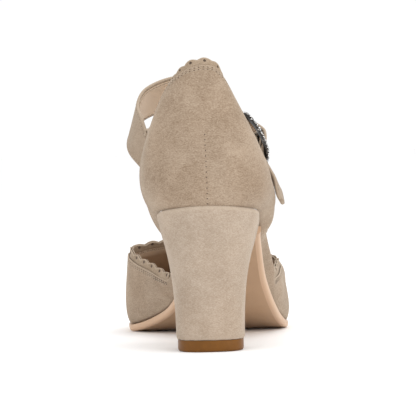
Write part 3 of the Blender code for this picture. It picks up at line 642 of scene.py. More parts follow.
def leather(name, dark, light, rough, grain=700.0, deep=0.00008, edge=None):
    """Smooth leather with a faint pore grain. Where the value named edge is 1 it takes the edge's colour."""
    finish = Finish(name, {"Specular IOR Level": 0.35})
    place = finish.place()
    clouds = finish.noise(place, 45.0, 3.0, 0.5, 0.3)
    pores = finish.node(
        "ShaderNodeTexVoronoi", {"feature": "DISTANCE_TO_EDGE"}, {"Vector": place, "Scale": grain}
    )
    fine = finish.noise(place, 1800.0, 2.0, 0.6)
    tone = (0.5 + clouds * 1.8 + fine * 0.5).clamped()
    colour = finish.mixed(tone, dark, light)
    if edge:
        colour = finish.mixed(finish.value("edge"), colour, edge)
    finish.feed(
        Base_Color=colour,
        Roughness=rough + clouds * 0.15,
        Normal=finish.bump(pores.power(0.5) * 0.6 + fine * 0.5, deep, 0.6),
    )
    return finish.material


def plain(name, colour, rough, metallic=0.0, grain=900.0, spread=0.25, deep=0.00005, extra=None):
    """An even finish with a little unevenness in tone, gloss and surface."""
    finish = Finish(name, {"Metallic": metallic, **(extra or {})})
    place = finish.place()
    mottle = finish.noise(place, grain, 3.0, 0.6)
    broad = finish.noise(place, grain / 9.0, 2.0, 0.5)
    darker = tuple(c * (1.0 - spread) for c in colour)
    lighter = tuple(min(1.0, c * (1.0 + spread)) for c in colour)
    tone = (0.5 + (mottle + broad) * 1.2).clamped()
    finish.feed(
        Base_Color=finish.mixed(tone, darker, lighter),
        Roughness=(rough + broad * 0.25 + mottle * 0.12).clamped(),
        Normal=finish.bump(mottle, deep, 0.5),
    )
    return finish.material


def patina_and_glint_metal(name, dark, bright, scale):
    """Cast metal in random patches of dark patina and bright painted glints that stand in for reflections,
    glossier where bright.
    """
    finish = Finish(name, {"Metallic": 1.0})
    place = finish.place()
    patches = finish.noise(place, scale, 2.0, 0.5)
    fine = finish.noise(place, scale * 4.0, 2.0, 0.5)
    tone = (0.45 + patches * 6.0 + fine * 1.5).clamped()
    finish.feed(
        Base_Color=finish.mixed(tone, dark, bright),
        Roughness=0.42 - tone * 0.2,
        Normal=finish.bump(patches, 0.00008, 0.5),
    )
    return finish.material


upper_suede = suede("upper suede", (0.235, 0.168, 0.113), (0.39, 0.305, 0.228))
heel_suede = suede("heel suede", (0.315, 0.242, 0.180), (0.445, 0.365, 0.292), 48.0)
trim_suede = suede("trim suede", (0.25, 0.185, 0.125), (0.37, 0.29, 0.215), 80.0)
strap_suede = suede("strap suede", (0.235, 0.172, 0.118), (0.36, 0.28, 0.208))
lining_leather = leather(
    "lining leather", (0.40, 0.275, 0.175), (0.52, 0.38, 0.26), 0.5, edge=(0.60, 0.47, 0.35)
)
strap_leather = leather("strap lining", (0.50, 0.37, 0.25), (0.61, 0.47, 0.34), 0.48)
sock_leather = leather("insole leather", (0.22, 0.125, 0.07), (0.30, 0.18, 0.10), 0.45)
sole_leather = leather(
    "sole leather", (0.38, 0.235, 0.135), (0.46, 0.295, 0.175), 0.42, 500.0, 0.00005,
    (0.55, 0.365, 0.235),
)
top_piece_rubber = plain(
    "top piece rubber", (0.155, 0.060, 0.008), 0.42, 0.0, 500.0, 0.18, 0.00003, {"Specular IOR Level": 0.2}
)
thread = plain("thread", (0.37, 0.295, 0.22), 0.7, 0.0, 3000.0, 0.2)
# Dark spots that paint the shade inside needle holes and punched holes
painted_hole_shade = plain("painted hole shade", (0.10, 0.07, 0.05), 0.9, 0.0, 3000.0, 0.2)
# Silver with dark patina and bright painted glints
silver_patina_and_glints = patina_and_glint_metal("silver patina and glints", (0.035, 0.032, 0.03), (0.80, 0.79, 0.78), 1500.0)
dark_silver = plain("darkened silver", (0.045, 0.042, 0.04), 0.45, 1.0, 700.0, 0.4, 0.00006)


# Upper

def upper_stations():
    """Fine columns from the back seam to the toe tip, closest where the quarter's front edge comes down."""
    spans = [(0.0, 1.0, 40), (1.0, 1.17, 16), (1.17, 1.33, 64), (1.33, 1.55, 26), (1.55, 1.64, 24),
             (1.64, 2.0, 40), (2.0, 3.0, 76)]
    return [start + (end - start) * k / count for start, end, count in spans for k in range(count)]


half_stations = upper_stations()
loop = [("inner", s) for s in half_stations] + [("inner", 3.0)]
loop += [("outer", s) for s in reversed(half_stations[1:])]
station_of = np.array([station for _, station in loop])
handles_of = np.array([rib_handles(side, station) for side, station in loop])
columns = len(loop)

# Each column sampled at even lengths along its rib, from the fold down to the featherline
SAMPLES = 61
NEAR, NEAR_STEP = 20, 0.00022  # fine rows close to the fold
SHORT_WALL = 0.012  # a wall lower than this has closer rows
FAR = 44
raw = on_rib(np.moveaxis(handles_of, 1, 0)[:, :, None, :], np.linspace(1.0, 0.0, SAMPLES)[None, :])
drops = np.array([curve_at(SEAT_DROPS, 1, station) for station in station_of])
below = raw[:, -1:] + unit(raw[:, -1] - raw[:, -2])[:, None] * drops[:, None, None]
raw = np.concatenate((raw, below), axis=1)
raw_reach = np.array([reach_along(rib) for rib in raw])
rows_down = []
for reach in raw_reach[:, -1]:
    near = NEAR_STEP * min(1.0, reach / SHORT_WALL)
    down = [FOLD_DEPTH / 2 + near * k for k in range(NEAR)]
    rows_down.append(down + list(np.linspace(down[-1] + near, reach, FAR + 1))[1:])
rows_down = np.array(rows_down)
skin = np.array([at_reach(*column) for column in zip(rows_down, raw_reach, raw)])
along_loop = unit(np.roll(skin, -1, axis=0) - np.roll(skin, 1, axis=0))
down_wall = unit(np.gradient(skin, axis=1))
outside = unit(np.cross(along_loop, down_wall))
toward = np.array([outward(side, station) for side, station in loop])
if np.mean(np.sum(outside[:, -1] * toward, axis=1)) < 0:
    outside = -outside

edge_line = handles_of[:, 3]
edge_along = unit(np.roll(edge_line, -1, axis=0) - np.roll(edge_line, 1, axis=0))
edge_rise = unit(handles_of[:, 3] - handles_of[:, 2])
edge_in = unit(np.cross(edge_along, edge_rise))
edge_in *= np.where(np.sum(edge_in * outside[:, 0], axis=1) > 0, -1.0, 1.0)[:, None]
edge_rise = unit(edge_rise - edge_along * np.sum(edge_rise * edge_along, axis=1)[:, None])

# Relief: stitched rows pull in, the side strip lies under the quarter and under the vamp
stations = station_of[:, None] + np.zeros_like(rows_down)
from_sole = rows_down[:, -1:] - rows_down
quarter_end = QUARTER_END + QUARTER_SLANT * np.clip(from_sole / SIDE_STRIP_HIGH, 0.0, 1.0)
vamp_start = 1.566 + 4.0 * np.minimum(from_sole, 0.012)
strip = smooth_step(stations - quarter_end, 0.0, 0.004)
strip *= 1.0 - smooth_step(stations, vamp_start, vamp_start + 0.060)
sewn = 1.0 - smooth_step(stations, 1.285, 1.300) * (1.0 - smooth_step(stations, 1.565, 1.575))
past_heel = smooth_step(stations, 1.0, 1.2)
tuck = bell(from_sole, 0.0007)
relief = -STEP_HIGH * strip
for row in EDGE_ROWS:
    relief -= ROW_DENT * bell(rows_down - row, DENT_WIDE) * sewn
relief += 0.00010 * bell(rows_down - sum(EDGE_ROWS) / 2, DENT_WIDE) * sewn
relief -= tuck * (0.0002 + 0.00025 * past_heel)
shaped = skin + outside * relief[..., None]


def fold(base, radius, parts, inward=1.0):
    """Rings that turn a skin's upper edge over, into the shoe or out of it."""
    rings = []
    for k in range(1, parts + 1):
        turn = math.pi * k / parts
        over = edge_in * (radius * (1 - math.cos(turn)) * inward)
        rings.append(base + over + edge_rise * radius * math.sin(turn))
    return rings


# Suede skin: outside, fold, down again behind the trim, and closed at the featherline
ROLL = 7
BEHIND = 12
outer_rows = rows_down.shape[1]
rings = fold(shaped[:, 0], FOLD_DEPTH / 2, ROLL)
for row in np.linspace(0, outer_rows - 1, BEHIND + 1).astype(int)[1:]:
    rings.append(skin[:, row] - outside[:, row] * SUEDE_THICK)
profile = np.concatenate((shaped[:, ::-1], np.stack(rings, axis=1)), axis=1)
wear_and_highlight, painted_shade = np.zeros(profile.shape[:2]), np.zeros(profile.shape[:2])
# Lighter along the fold and the quarter's step over the side strip: edge wear and painted highlight
step_line = bell(stations - quarter_end - 0.0005, 0.0022) * (rows_down > 0.0012)
wear_and_highlight[:, :outer_rows] = (bell(rows_down, 0.0005) * 0.8 + step_line * 0.9)[:, ::-1]
wear_and_highlight[:, outer_rows:outer_rows + 3] = 0.8
# Darker at the tuck over the sole, along the stitched rows and on the inner faces behind the fold: painted
# shade
crease_shade = tuck * (0.3 + 0.6 * past_heel)
for row in EDGE_ROWS:
    crease_shade += bell(rows_down - row, 0.00016) * sewn * 0.25
painted_shade[:, :outer_rows] = crease_shade[:, ::-1]
painted_shade[:, outer_rows + ROLL:] = 0.5
piece(
    "upper_suede", profile.reshape(-1, 3), tube_faces(columns, profile.shape[1], True), upper_suede,
    ("upper",), {"wear_and_highlight": wear_and_highlight, "painted_shade": painted_shade}, 60.0,
)

# Lining: its own closed skin on the inside, with a small fold just under the edge
LINING_ROLL = 5
BINDING_DEEP = 0.0066  # the light band along the lining's edge
BINDING_HIGH = 0.00018
lining_rows = [*range(0, 20, 2), *range(20, outer_rows, 2), outer_rows - 1]
inner_face = skin - outside * WALL
band = -BINDING_HIGH * smooth_step(rows_down, BINDING_DEEP, BINDING_DEEP + 0.0002)
press = np.zeros_like(rows_down)
for row in EDGE_ROWS:
    press -= LINING_DENT * bell(rows_down - row, DENT_WIDE) * sewn
inner_shaped = inner_face - outside * (band + press)[..., None]
rings = fold(inner_shaped[:, 0], LINING_THICK / 2, LINING_ROLL, -1.0)
for row in (2, 8, 18, 30, 44, outer_rows - 1):
    rings.append(inner_face[:, row] + outside[:, row] * LINING_THICK)
profile = np.concatenate((inner_shaped[:, lining_rows[::-1]], np.stack(rings, axis=1)), axis=1)
edge_band = np.zeros(profile.shape[:2])
edge_band[:, :len(lining_rows)] = (1.0 - smooth_step(rows_down, 0.0060, 0.0064))[:, lining_rows[::-1]]
edge_band[:, len(lining_rows):len(lining_rows) + LINING_ROLL] = 1.0
piece(
    "upper_lining", profile.reshape(-1, 3), tube_faces(columns, profile.shape[1], True), lining_leather,
    ("upper",), {"edge": edge_band}, 60.0,
)


# Sewing on the upper

threads, holes = Heap(), Heap()
lining_threads, lining_holes = Heap(), Heap()


def loop_part(limit, by_toe):
    """The loop's columns in order, round the toe or round the heel, up to one station on both sides."""
    if by_toe:
        return [i for i in range(columns) if loop[i][1] >= limit]
    near = [i for i in range(columns) if loop[i][1] <= limit]
    return [i for i in near if loop[i][0] == "outer"] + [i for i in near if loop[i][0] == "inner"]


def row_at(indices, down, inside=False):
    """Points and normals along the upper at a distance under its fold, on the suede or on the lining."""
    points, normals = [], []
    for i in indices:
        normal = unit(at_reach(down, rows_down[i], outside[i]))
        depth = WALL - 0.00008 if inside else 0.0001
        points.append(at_reach(down, rows_down[i], skin[i]) - normal * depth)
        normals.append(-normal if inside else normal)
    return points, normals


for part in (loop_part(HEEL_SEWING_END, False), loop_part(TOE_SEWING_START, True)):
    for down in EDGE_ROWS:
        sew(threads, holes, *row_at(part, down))
        sew(lining_threads, lining_holes, *row_at(part, down, True))
back = [i for i in range(columns) if loop[i][1] == 0.0][0]
seam_down = np.linspace(0.50, 0.985, 26) * rows_down[back, -1]
seam_points = at_reach(seam_down, rows_down[back], skin[back])
backwards = np.tile((0.0, -1.0, 0.0), (len(seam_down), 1))
# Dark spots of painted shade for the back seam's needle holes
for spot, facing in zip(*even_line(seam_points, backwards, SEAM_PITCH)):
    holes.dome(spot - facing * 0.00005, facing, *SEAM_HOLE, 9, 2)
threads.piece("edge_stitches", thread, "suede")
holes.piece("stitch_hole_shade", painted_hole_shade, "suede")
lining_threads.piece("lining_stitches", thread, "lining_leather")
lining_holes.piece("lining_stitch_hole_shade", painted_hole_shade, "lining_leather")


# Scalloped trims with a punched hole in each scallop, and a dark disc of painted shade in each hole

def thicken(sheet, thick, round_edge):
    """Gives an open sheet its thickness and soft edges."""
    wall = sheet.modifiers.new("thickness", "SOLIDIFY")
    wall.thickness, wall.offset = thick, 0.0
    bevel = sheet.modifiers.new("soft edge", "BEVEL")
    bevel.width, bevel.segments = round_edge, 2
    bevel.limit_method, bevel.angle_limit = "ANGLE", math.radians(55)


def scallop_edge(share, show):
    """Height of the scalloped edge at a share of one scallop; a lower trim is cut less deep."""
    return show - SCALLOP_DEPTH * (show / VAMP_TRIM_HIGH) ** 3 * (1.0 - abs(math.sin(math.pi * share)))


def scallop_cell(show, pitch, hole):
    """Flat points (share of the pitch, height) of one scallop and its faces round the punched hole."""
    low = TRIM_FOOT
    valley = scallop_edge(0.0, show)
    bottom = [(k / 8, low) for k in range(8)]
    right = [(1.0, low + (valley - low) * k / 4) for k in range(4)]
    arch = [(1.0 - k / 14, scallop_edge(1.0 - k / 14, show)) for k in range(14)]
    left = [(0.0, valley + (low - valley) * k / 4) for k in range(4)]
    centre = (0.5, (show - HOLE_UNDER_TIP) / pitch)
    rings = [[], [], []]
    for share, high in bottom + right + arch + left:
        dx, dy = share - centre[0], high / pitch - centre[1]
        far = math.hypot(dx, dy)
        near = hole / pitch
        for ring, part in zip(rings, (1.0, 0.45, 0.0)):
            reach = near + (far - near) * part
            ring.append((centre[0] + dx / far * reach, (centre[1] + dy / far * reach) * pitch))
    return rings[0] + rings[1] + rings[2], tube_faces(3, len(rings[0]), caps=False)


def scalloped_trim(name, path, node, show, pitch, layers, hole, backing):
    """A scalloped strip along a path of (side, station, lean upwards, lean outwards) on the folded edge."""
    frames = []
    for side, station, lean, spread in path:
        top, rise, inward = edge_frame(side, station)
        rise = unit(rise + np.array((0.0, 0.0, lean)) - inward * spread)
        inward = unit(inward - rise * np.dot(inward, rise))
        frames.append((top + inward * TRIM_INSIDE, rise, inward))
    base, rises, inwards = np.moveaxis(np.array(frames), 1, 0)
    reach = reach_along(base)
    bumps = round(reach[-1] / pitch)
    pitch = reach[-1] / bumps
    cell_points, cell_faces = scallop_cell(show, pitch, hole)
    points, faces, known, rim = [], [], {}, []
    for bump, layer in [(bump, layer) for layer in layers for bump in range(bumps)]:
        indices = []
        for share, high in cell_points:
            key = (round((bump + share) * 1e5), round(high * 1e8), layer)
            if key not in known:
                known[key] = len(points)
                at = (bump + share) * pitch
                rise, inward = unit(at_reach(at, reach, rises)), unit(at_reach(at, reach, inwards))
                curl = inward * (high / show) ** 2 * (TRIM_CURL * math.sin(bump * 2.4) + layer * 0.35)
                points.append(at_reach(at, reach, base) + inward * layer + rise * high + curl)
                # Lighter along the scalloped edge: edge wear and painted highlight
                rim.append(max(0.0, 1.0 - abs(high - scallop_edge(share, show)) / 0.00035))
            indices.append(known[key])
        faces += [tuple(indices[k] for k in face) for face in cell_faces]
        if layer in (layers[0], layers[-1]):
            ring = np.array([points[index] for index in indices[-len(cell_points) // 3:]])
            middle_of = ring.mean(axis=0)
            facing = unit(np.cross(ring[0] - middle_of, ring[len(ring) // 4] - middle_of))
            # A dark disc of painted shade in the hole
            disc = np.concatenate((ring - facing * DISC_HALF, ring + facing * DISC_HALF))
            backing.add(disc, tube_faces(2, len(ring)))
    made = piece(
        name, points, faces, trim_suede, (node,), {"wear_and_highlight": rim, "painted_shade": [0.0] * len(points)}, 40.0
    )
    thicken(made, TRIM_THICK / len(layers), SOFT_EDGE)


def mouth_path(first, turn, last, steps, lean_of, spread_of):
    """Places from one side's station round the middle, at station turn, to the other side's."""
    path = []
    for k in range(steps):
        station = first + (turn - first) * k / steps
        path.append(("inner", station, lean_of(station), spread_of(station)))
    for k in range(steps + 1):
        station = turn + (last - turn) * k / steps
        path.append(("outer", station, lean_of(station), 0.0))
    return path


STEPS = 60
inner_end, outer_end = COLLAR_TRIM_ENDS
path = mouth_path(
    inner_end, 0.0, outer_end, STEPS, lambda station: 0.0,
    lambda station: 0.6 * float(smooth_step(station, 1.07, 1.13)),
)
hole_shade_discs = Heap()
scalloped_trim(
    "collar_scallops", path, "collar_trim", COLLAR_TRIM_HIGH, SCALLOP, (0.0,), HOLE_RADIUS, hole_shade_discs
)
hole_shade_discs.piece("collar_hole_shade", painted_hole_shade, "suede")
path = mouth_path(
    VAMP_TRIM_START, 3.0, VAMP_TRIM_START, STEPS,
    lambda station: TRIM_LEAN * min(1.0, max(0.0, station - LEAN_START)), lambda station: 0.0,
)
hole_shade_discs = Heap()
scalloped_trim(
    "vamp_scallops", path, "vamp_trim", VAMP_TRIM_HIGH, VAMP_SCALLOP, VAMP_TRIM_LAYERS, VAMP_HOLE_RADIUS,
    hole_shade_discs,
)
hole_shade_discs.piece("vamp_hole_shade", painted_hole_shade, "suede")


# Instep strap

def strap_place(row):
    """The strap's middle at one row of its table, the way across it, and its width."""
    x, y, z = row[0] * BALL_WIDTH, row[1] * LENGTH - ORIGIN_BACK, SEAT_HEIGHT + row[2] * INSTEP
    return np.array((x, y, z)), unit(row[3:6]), row[6] * STRAP_WIDTH


run, wide, out = np.array(BUCKLE_RUN), np.array(BUCKLE_WIDE), np.array(BUCKLE_OUT)
middle = np.array(BUCKLE_MIDDLE)


def strap_control():
    """Four points across the strap at each place of its path, from its root to the tail's end."""
    root = []
    for station in ROOT_STATIONS:
        top, rise, inward = edge_frame("inner", station)
        root.append(top + rise * GAP * 3 + inward * WALL / 2)
    start = strap_place(STRAP[0])[0]
    under = [point + (point - start) * 0.12 for point in root]
    threaded = []
    for along, over in THREADING:
        centre = middle + run * along * FRAME_LENGTH / 2 + out * (over * STRAP_THICK - ARCH * along**2 * 0.8)
        threaded.append((centre, wide, STRAP_AT_BUCKLE * STRAP_WIDTH))
    rows = [np.array(under), np.array(root)]
    for centre, across, width in [*map(strap_place, STRAP), *threaded, *map(strap_place, TAIL)]:
        rows.append(np.array([centre + across * width * (k / 3 - 0.5) for k in range(4)]))
    return rows


def smooth_rows(rows, parts):
    """Rows of points with a smooth curve's rows between them."""
    smooth = []
    for i in range(len(rows) - 1):
        before, after = rows[max(0, i - 1)], rows[min(len(rows) - 1, i + 2)]
        here, there = rows[i], rows[i + 1]
        for k in range(parts):
            t = k / parts
            smooth.append(
                here + (there - before) * 0.5 * t
                + (before - here * 2.5 + there * 2.0 - after * 0.5) * t**2
                + ((here - there) * 1.5 + (after - before) * 0.5) * t**3
            )
    smooth.append(rows[-1])
    return np.array(smooth)


STRAP_PARTS = 10
strap_grid = smooth_rows(strap_control(), STRAP_PARTS)
strap_count = len(strap_grid)


def across_strap(shares):
    """Points of the strap's middle surface at shares of its width, by the cubic through its four points."""
    u = np.asarray(shares, float) * 3.0
    weights = np.stack([
        -(u - 1) * (u - 2) * (u - 3) / 6, u * (u - 2) * (u - 3) / 2,
        -u * (u - 1) * (u - 3) / 2, u * (u - 1) * (u - 2) / 6,
    ], axis=-1)
    weights = np.broadcast_to(weights, (strap_count, *weights.shape[-2:]))
    return np.einsum("ruk,rkd->rud", weights, strap_grid)


mid = across_strap(np.tile(np.linspace(0.0, 1.0, 9), (strap_count, 1)))
strap_along = unit(np.gradient(mid[:, 4], axis=0))
strap_across = unit(mid[:, 8] - mid[:, 0])
strap_out = unit(np.cross(strap_along, strap_across))
heart = np.array((0.0, 0.030, 0.075))  # inside the loop of the strap
if np.mean(np.sum(strap_out * (mid[:, 4] - heart), axis=1)) < 0:
    strap_out = -strap_out
strap_width = np.linalg.norm(mid[:, 8] - mid[:, 0], axis=1)
lip = STRAP_THICK / 2


def strap_layer(inset, low, high, flat_points, round_points, dent=0.0):
    """Closed skin round the strap between two heights over its middle surface, rounded at the edges."""
    half = (high - low) / 2
    centre = (high + low) / 2
    flat = np.linspace(0.0, 1.0, flat_points)
    turns = [math.pi * k / round_points for k in range(1, round_points)]
    loops = []
    for width in strap_width:
        edge = (inset + half) / width
        level = edge + (1 - 2 * edge) * flat
        loops.append((
            [*level, *(1 - edge + half / width * math.sin(turn) for turn in turns),
             *level[::-1], *(edge - half / width * math.sin(turn) for turn in turns)],
            [*(centre + half for _ in flat), *(centre + half * math.cos(turn) for turn in turns),
             *(centre - half for _ in flat), *(centre - half * math.cos(turn) for turn in turns)],
        ))
    shares, heights = np.moveaxis(np.array(loops), 1, 0)
    gap = np.minimum(shares, 1 - shares) * strap_width[:, None]
    pressed = dent * bell(gap - STRAP_ROW, 0.00035) * (gap > 0.0009)
    heights = heights - np.sign(heights) * pressed
    return across_strap(shares) + strap_out[:, None, :] * heights[..., None], gap


points, gap = strap_layer(0.0, -lip, lip, 15, 6, STRAP_DENT)
# The strap's edges are painted lighter for edge wear and painted highlight, and its stitched rows darker with
# painted shade
piece(
    "strap_suede", points.reshape(-1, 3), tube_faces(strap_count, points.shape[1]), strap_suede,
    ("instep_strap",), {"wear_and_highlight": bell(gap, 0.0005) * 0.8, "painted_shade": bell(gap - STRAP_ROW, 0.0002) * 0.3}, 60.0,
)
points, gap = strap_layer(STRAP_LINING_IN, -lip - STRAP_LINING_PROUD, -lip + 0.0002, 9, 4)
points = points[6:strap_count - 4]
piece(
    "strap_lining", points.reshape(-1, 3), tube_faces(len(points), points.shape[1]), strap_leather,
    sharp=60.0,
)

strap_threads, strap_hole_shade = Heap(), Heap()


def strap_line(gap_in, height, first, last):
    """Lines of points along both edges of the strap, at a distance in and a height over its middle."""
    both = across_strap(np.stack([gap_in / strap_width, 1 - gap_in / strap_width], axis=-1))
    facing = strap_out[first:last]
    return [(both[first:last, k] + facing * height, facing * math.copysign(1.0, height)) for k in (0, 1)]


for line, facing in strap_line(STRAP_ROW, lip - 0.00005, STRAP_PARTS + 2, -12):
    sew(strap_threads, strap_hole_shade, line, facing)
for line, facing in strap_line(STRAP_LINING_IN + 0.0007, -lip - STRAP_LINING_PROUD, 14, -12):
    sew(strap_threads, strap_hole_shade, line, facing)
strap_threads.piece("strap_stitches", thread, "suede")
strap_hole_shade.piece("strap_stitch_hole_shade", painted_hole_shade, "suede")

STRAP_HOLES = 0.0075  # from one hole to the next
# Dark domes painted as the shade inside the strap's punched holes
punched = Heap()
centre_line = across_strap(np.tile([0.5], (strap_count, 1)))[:, 0]
prong_row = int(np.argmin(np.linalg.norm(centre_line - (middle + run * 0.0035 + out * 0.0024), axis=1)))
strap_reach = reach_along(centre_line)
for k in (-2, -1, 0, 1, 2):
    at = strap_reach[prong_row] + k * STRAP_HOLES
    facing = unit(at_reach(at, strap_reach, strap_out))
    spot = at_reach(at, strap_reach, centre_line) + facing * (lip - 0.00022)
    punched.dome(spot, facing, 0.0009, 0.00026, 16, 2)
punched.piece("strap_hole_shade", painted_hole_shade, "suede")


# Buckle

def frame_loop(count, grow=0.0, high=0.0):
    """Points round the buckle's rounded rectangle, grown sideways and raised."""
    points = []
    for angle in turns_round(count):
        share_run = rounded(math.cos(angle), FRAME_CORNERS)
        share_wide = rounded(math.sin(angle), FRAME_CORNERS)
        along_strap = run * share_run * ((FRAME_LENGTH - FRAME_RIM) / 2 + grow)
        along_bar = wide * share_wide * ((FRAME_WIDTH - FRAME_RIM) / 2 + grow)
        points.append(middle + along_strap + along_bar + out * (high - ARCH * share_run**2))
    around = np.array(points + points[:1])
    reach = reach_along(around)
    return at_reach(np.linspace(0.0, reach[-1], count, endpoint=False), reach, around)


def ring_tube(path, shape, material, name, replaces=()):
    """A closed tube on a ring, its section given for each place as (sideways, outward) pairs."""
    count = len(path)
    points = []
    for k in range(count):
        along = unit(path[(k + 1) % count] - path[k - 1])
        away = unit(np.cross(along, out))
        for sideways, up in shape(k):
            points.append(path[k] + away * sideways + out * up)
    sides = len(shape(0))
    piece(name, points, tube_faces(count, sides, True), material, replaces, sharp=50.0)


half, thick = FRAME_RIM / 2, FRAME_THICK / 2
band_section = [
    (-half, -thick * 0.6), (-half, thick * 0.1), (-half * 0.72, thick * 0.35), (-half * 0.3, thick * 0.45),
    (half * 0.3, thick * 0.45), (half * 0.72, thick * 0.35), (half, thick * 0.1), (half, -thick * 0.6),
    (half * 0.6, -thick * 0.75), (-half * 0.6, -thick * 0.75),
]
path = frame_loop(168)
ring_tube(path, lambda k: band_section, dark_silver, "buckle_band", ("buckle_frame",))


def rope(name, grow, radius, turns, count=420):
    """Two twisted wires along the frame, soldered on its face."""
    path = frame_loop(count, grow, thick * 0.55)

    def section(k):
        twist = 2 * math.pi * turns * k / count
        reaches = [(turn, radius * (1.0 + 0.24 * math.cos(2 * turn - twist))) for turn in turns_round(10)]
        return [(math.cos(turn) * reach, math.sin(turn) * reach) for turn, reach in reaches]

    ring_tube(path, section, silver_patina_and_glints, name)


rope("buckle_rope_outside", half - 0.00035, 0.00042, 60)
rope("buckle_rope_inside", -half + 0.00035, 0.00038, 46, 380)

# Rosettes and beads in turn on the frame's face, and a row of beads round its side
SPOTS = 16
SPOT_STEPS = 30
ornament = Heap()
path = frame_loop(SPOTS * SPOT_STEPS)
for k in range(SPOTS):
    at = k * SPOT_STEPS
    base = path[at] + out * thick * 0.35
    along = unit(path[at + 1] - path[at - 1])
    away = np.cross(along, out)
    if k % 2 == 0:
        ornament.dome(base + out * 0.0002, out, 0.00055, 0.0013, 12, 4)
        for turn in turns_round(6):
            spoke = along * math.cos(turn) + away * math.sin(turn)
            ornament.dome(base + spoke * 0.0011, out + spoke * 0.35, 0.00056, 0.00095, 9, 3)
    else:
        for bead, size in ((-1, 0.00032), (0, 0.00042), (1, 0.00032)):
            ornament.dome(base + along * bead * 0.00085, out, size, 0.0005, 10, 3)
        for leaf in (-1, 1):
            vein = base + away * leaf * 0.00055 + out * 0.0003
            ornament.rod(vein - along * 0.0011, vein + along * 0.0011, 0.00022, 1.0, out, 6)
SIDE_BEADS = 44
BEAD_STEPS = 10
path = frame_loop(SIDE_BEADS * BEAD_STEPS, half - 0.0002)
for k in range(SIDE_BEADS):
    at = k * BEAD_STEPS
    away = unit(np.cross(path[at + 1] - path[at - 1], out))
    away = away * math.copysign(1.0, float(np.dot(away, path[at] - middle)))
    size = 0.00062 if k % 2 == 0 else 0.00045
    ornament.dome(path[at] + out * (0.0002 - 0.0004 * (k % 3 == 0)), away, size, size * 1.2, 9, 3)
ornament.piece("buckle_ornament", silver_patina_and_glints, "buckle_metal")

bar = Heap()
half_bar = FRAME_WIDTH / 2 - FRAME_RIM * 0.6
bar.rod(middle - wide * half_bar, middle + wide * half_bar, BAR_RADIUS, 1.0, out, 20, 0.9)
bar.piece("buckle_centre_bar", silver_patina_and_glints, "buckle_metal", ("buckle_bar",))

PRONG_RINGS, PRONG_SIDES = 25, 12
start = middle + run * (PRONG_START - 0.0008) + out * (PRONG_RISE - 0.0006)
shoulder = middle + run * PRONG_START * 1.15 + out * PRONG_RISE
tip = middle + run * (FRAME_LENGTH - FRAME_RIM * 0.75) / 2 + out * (thick + 0.0006 + PRONG_RADIUS - ARCH)
prong_points = []
for k in range(PRONG_RINGS):
    t = k / (PRONG_RINGS - 1)
    first_leg, last_leg = start + (shoulder - start) * t, shoulder + (tip - shoulder) * t
    centre = first_leg + (last_leg - first_leg) * t
    wide_here = PRONG_RADIUS * (1.0 - 0.35 * t) * (1.0 if t < 1.0 else 0.5)
    along = unit((shoulder - start) * (1 - t) + (tip - shoulder) * t)
    up = unit(np.cross(along, wide))
    for turn in turns_round(PRONG_SIDES):
        prong_points.append(centre + (wide * math.cos(turn) + up * math.sin(turn)) * wide_here)
piece(
    "buckle_tongue", prong_points, tube_faces(PRONG_RINGS, PRONG_SIDES), silver_patina_and_glints,
    ("buckle_prong",), sharp=50.0,
)


# Tab that holds the buckle

TAB_ACROSS, TAB_TURNS = 9, 8
TAB_DEEP = 0.0020  # how far its feet reach into the quarter


def tab_rows():
    """The tab's strips, from one foot up round the buckle's bar and down to the other foot."""
    strips = []
    loop_radius = BAR_RADIUS + GAP + TAB_THICK / 2
    pressed = (TAB_THICK + GAP) / 2
    first, last = TAB_STATIONS
    for k in range(TAB_ACROSS):
        share = k / (TAB_ACROSS - 1)
        shift = wide * TAB_WIDTH * (share - 0.5)
        top, rise, inward = edge_frame("outer", first + (last - first) * share)
        foot = top + inward * WALL / 2 + rise * GAP * 2
        bend = middle + run * TAB_PRESS - out * (TAB_DROP + pressed) + shift
        deep = foot - rise * TAB_DEEP
        strip = [deep - inward * pressed, foot - inward * pressed, bend + out * pressed]
        for turn in range(TAB_TURNS + 1):
            angle = math.radians(-30.0 + 240.0 * turn / TAB_TURNS)
            away = out * math.cos(angle) - run * math.sin(angle)
            strip.append(middle + shift + away * loop_radius)
        strip += [bend - out * pressed, foot + inward * pressed, deep + inward * pressed]
        strips.append(np.array(strip))
    return np.stack(strips, axis=1)


tab = smooth_rows(tab_rows(), 4)
count = len(tab) * TAB_ACROSS
# Its edges are painted lighter, for edge wear and painted highlight
made = piece(
    "buckle_loop", tab.reshape(-1, 3), grid_faces(len(tab), TAB_ACROSS), strap_suede, ("buckle_tab",),
    {"wear_and_highlight": [1.0, 0.3, 0, 0, 0, 0, 0, 0.3, 1.0] * len(tab), "painted_shade": [0.0] * count}, 60.0,
)
thicken(made, TAB_THICK, SOFT_EDGE * 1.5)


# Heel, top piece, sole and insole

AROUND = 24  # points in a quarter of the heel's outline


def foot_ring(height, inset=0.0):
    """The heel's outline at the floor, round at the back and nearly flat at the breast."""
    centre = FOOT_BACK + FOOT_WIDTH / 2
    ring = []
    for k in range(4 * AROUND):
        angle = math.pi / 2 * k / AROUND
        back = math.cos(angle) > 1e-9
        roundness = FOOT_ROUNDNESS if back else BREAST_ROUNDNESS
        depth = centre - FOOT_BACK if back else FOOT_FRONT - centre
        x = -rounded(math.sin(angle), 2 / roundness) * (FOOT_WIDTH / 2 - inset)
        y = centre - rounded(math.cos(angle), 2 / roundness) * (depth - inset)
        ring.append((x, y - ORIGIN_BACK, height))
    return np.array(ring)


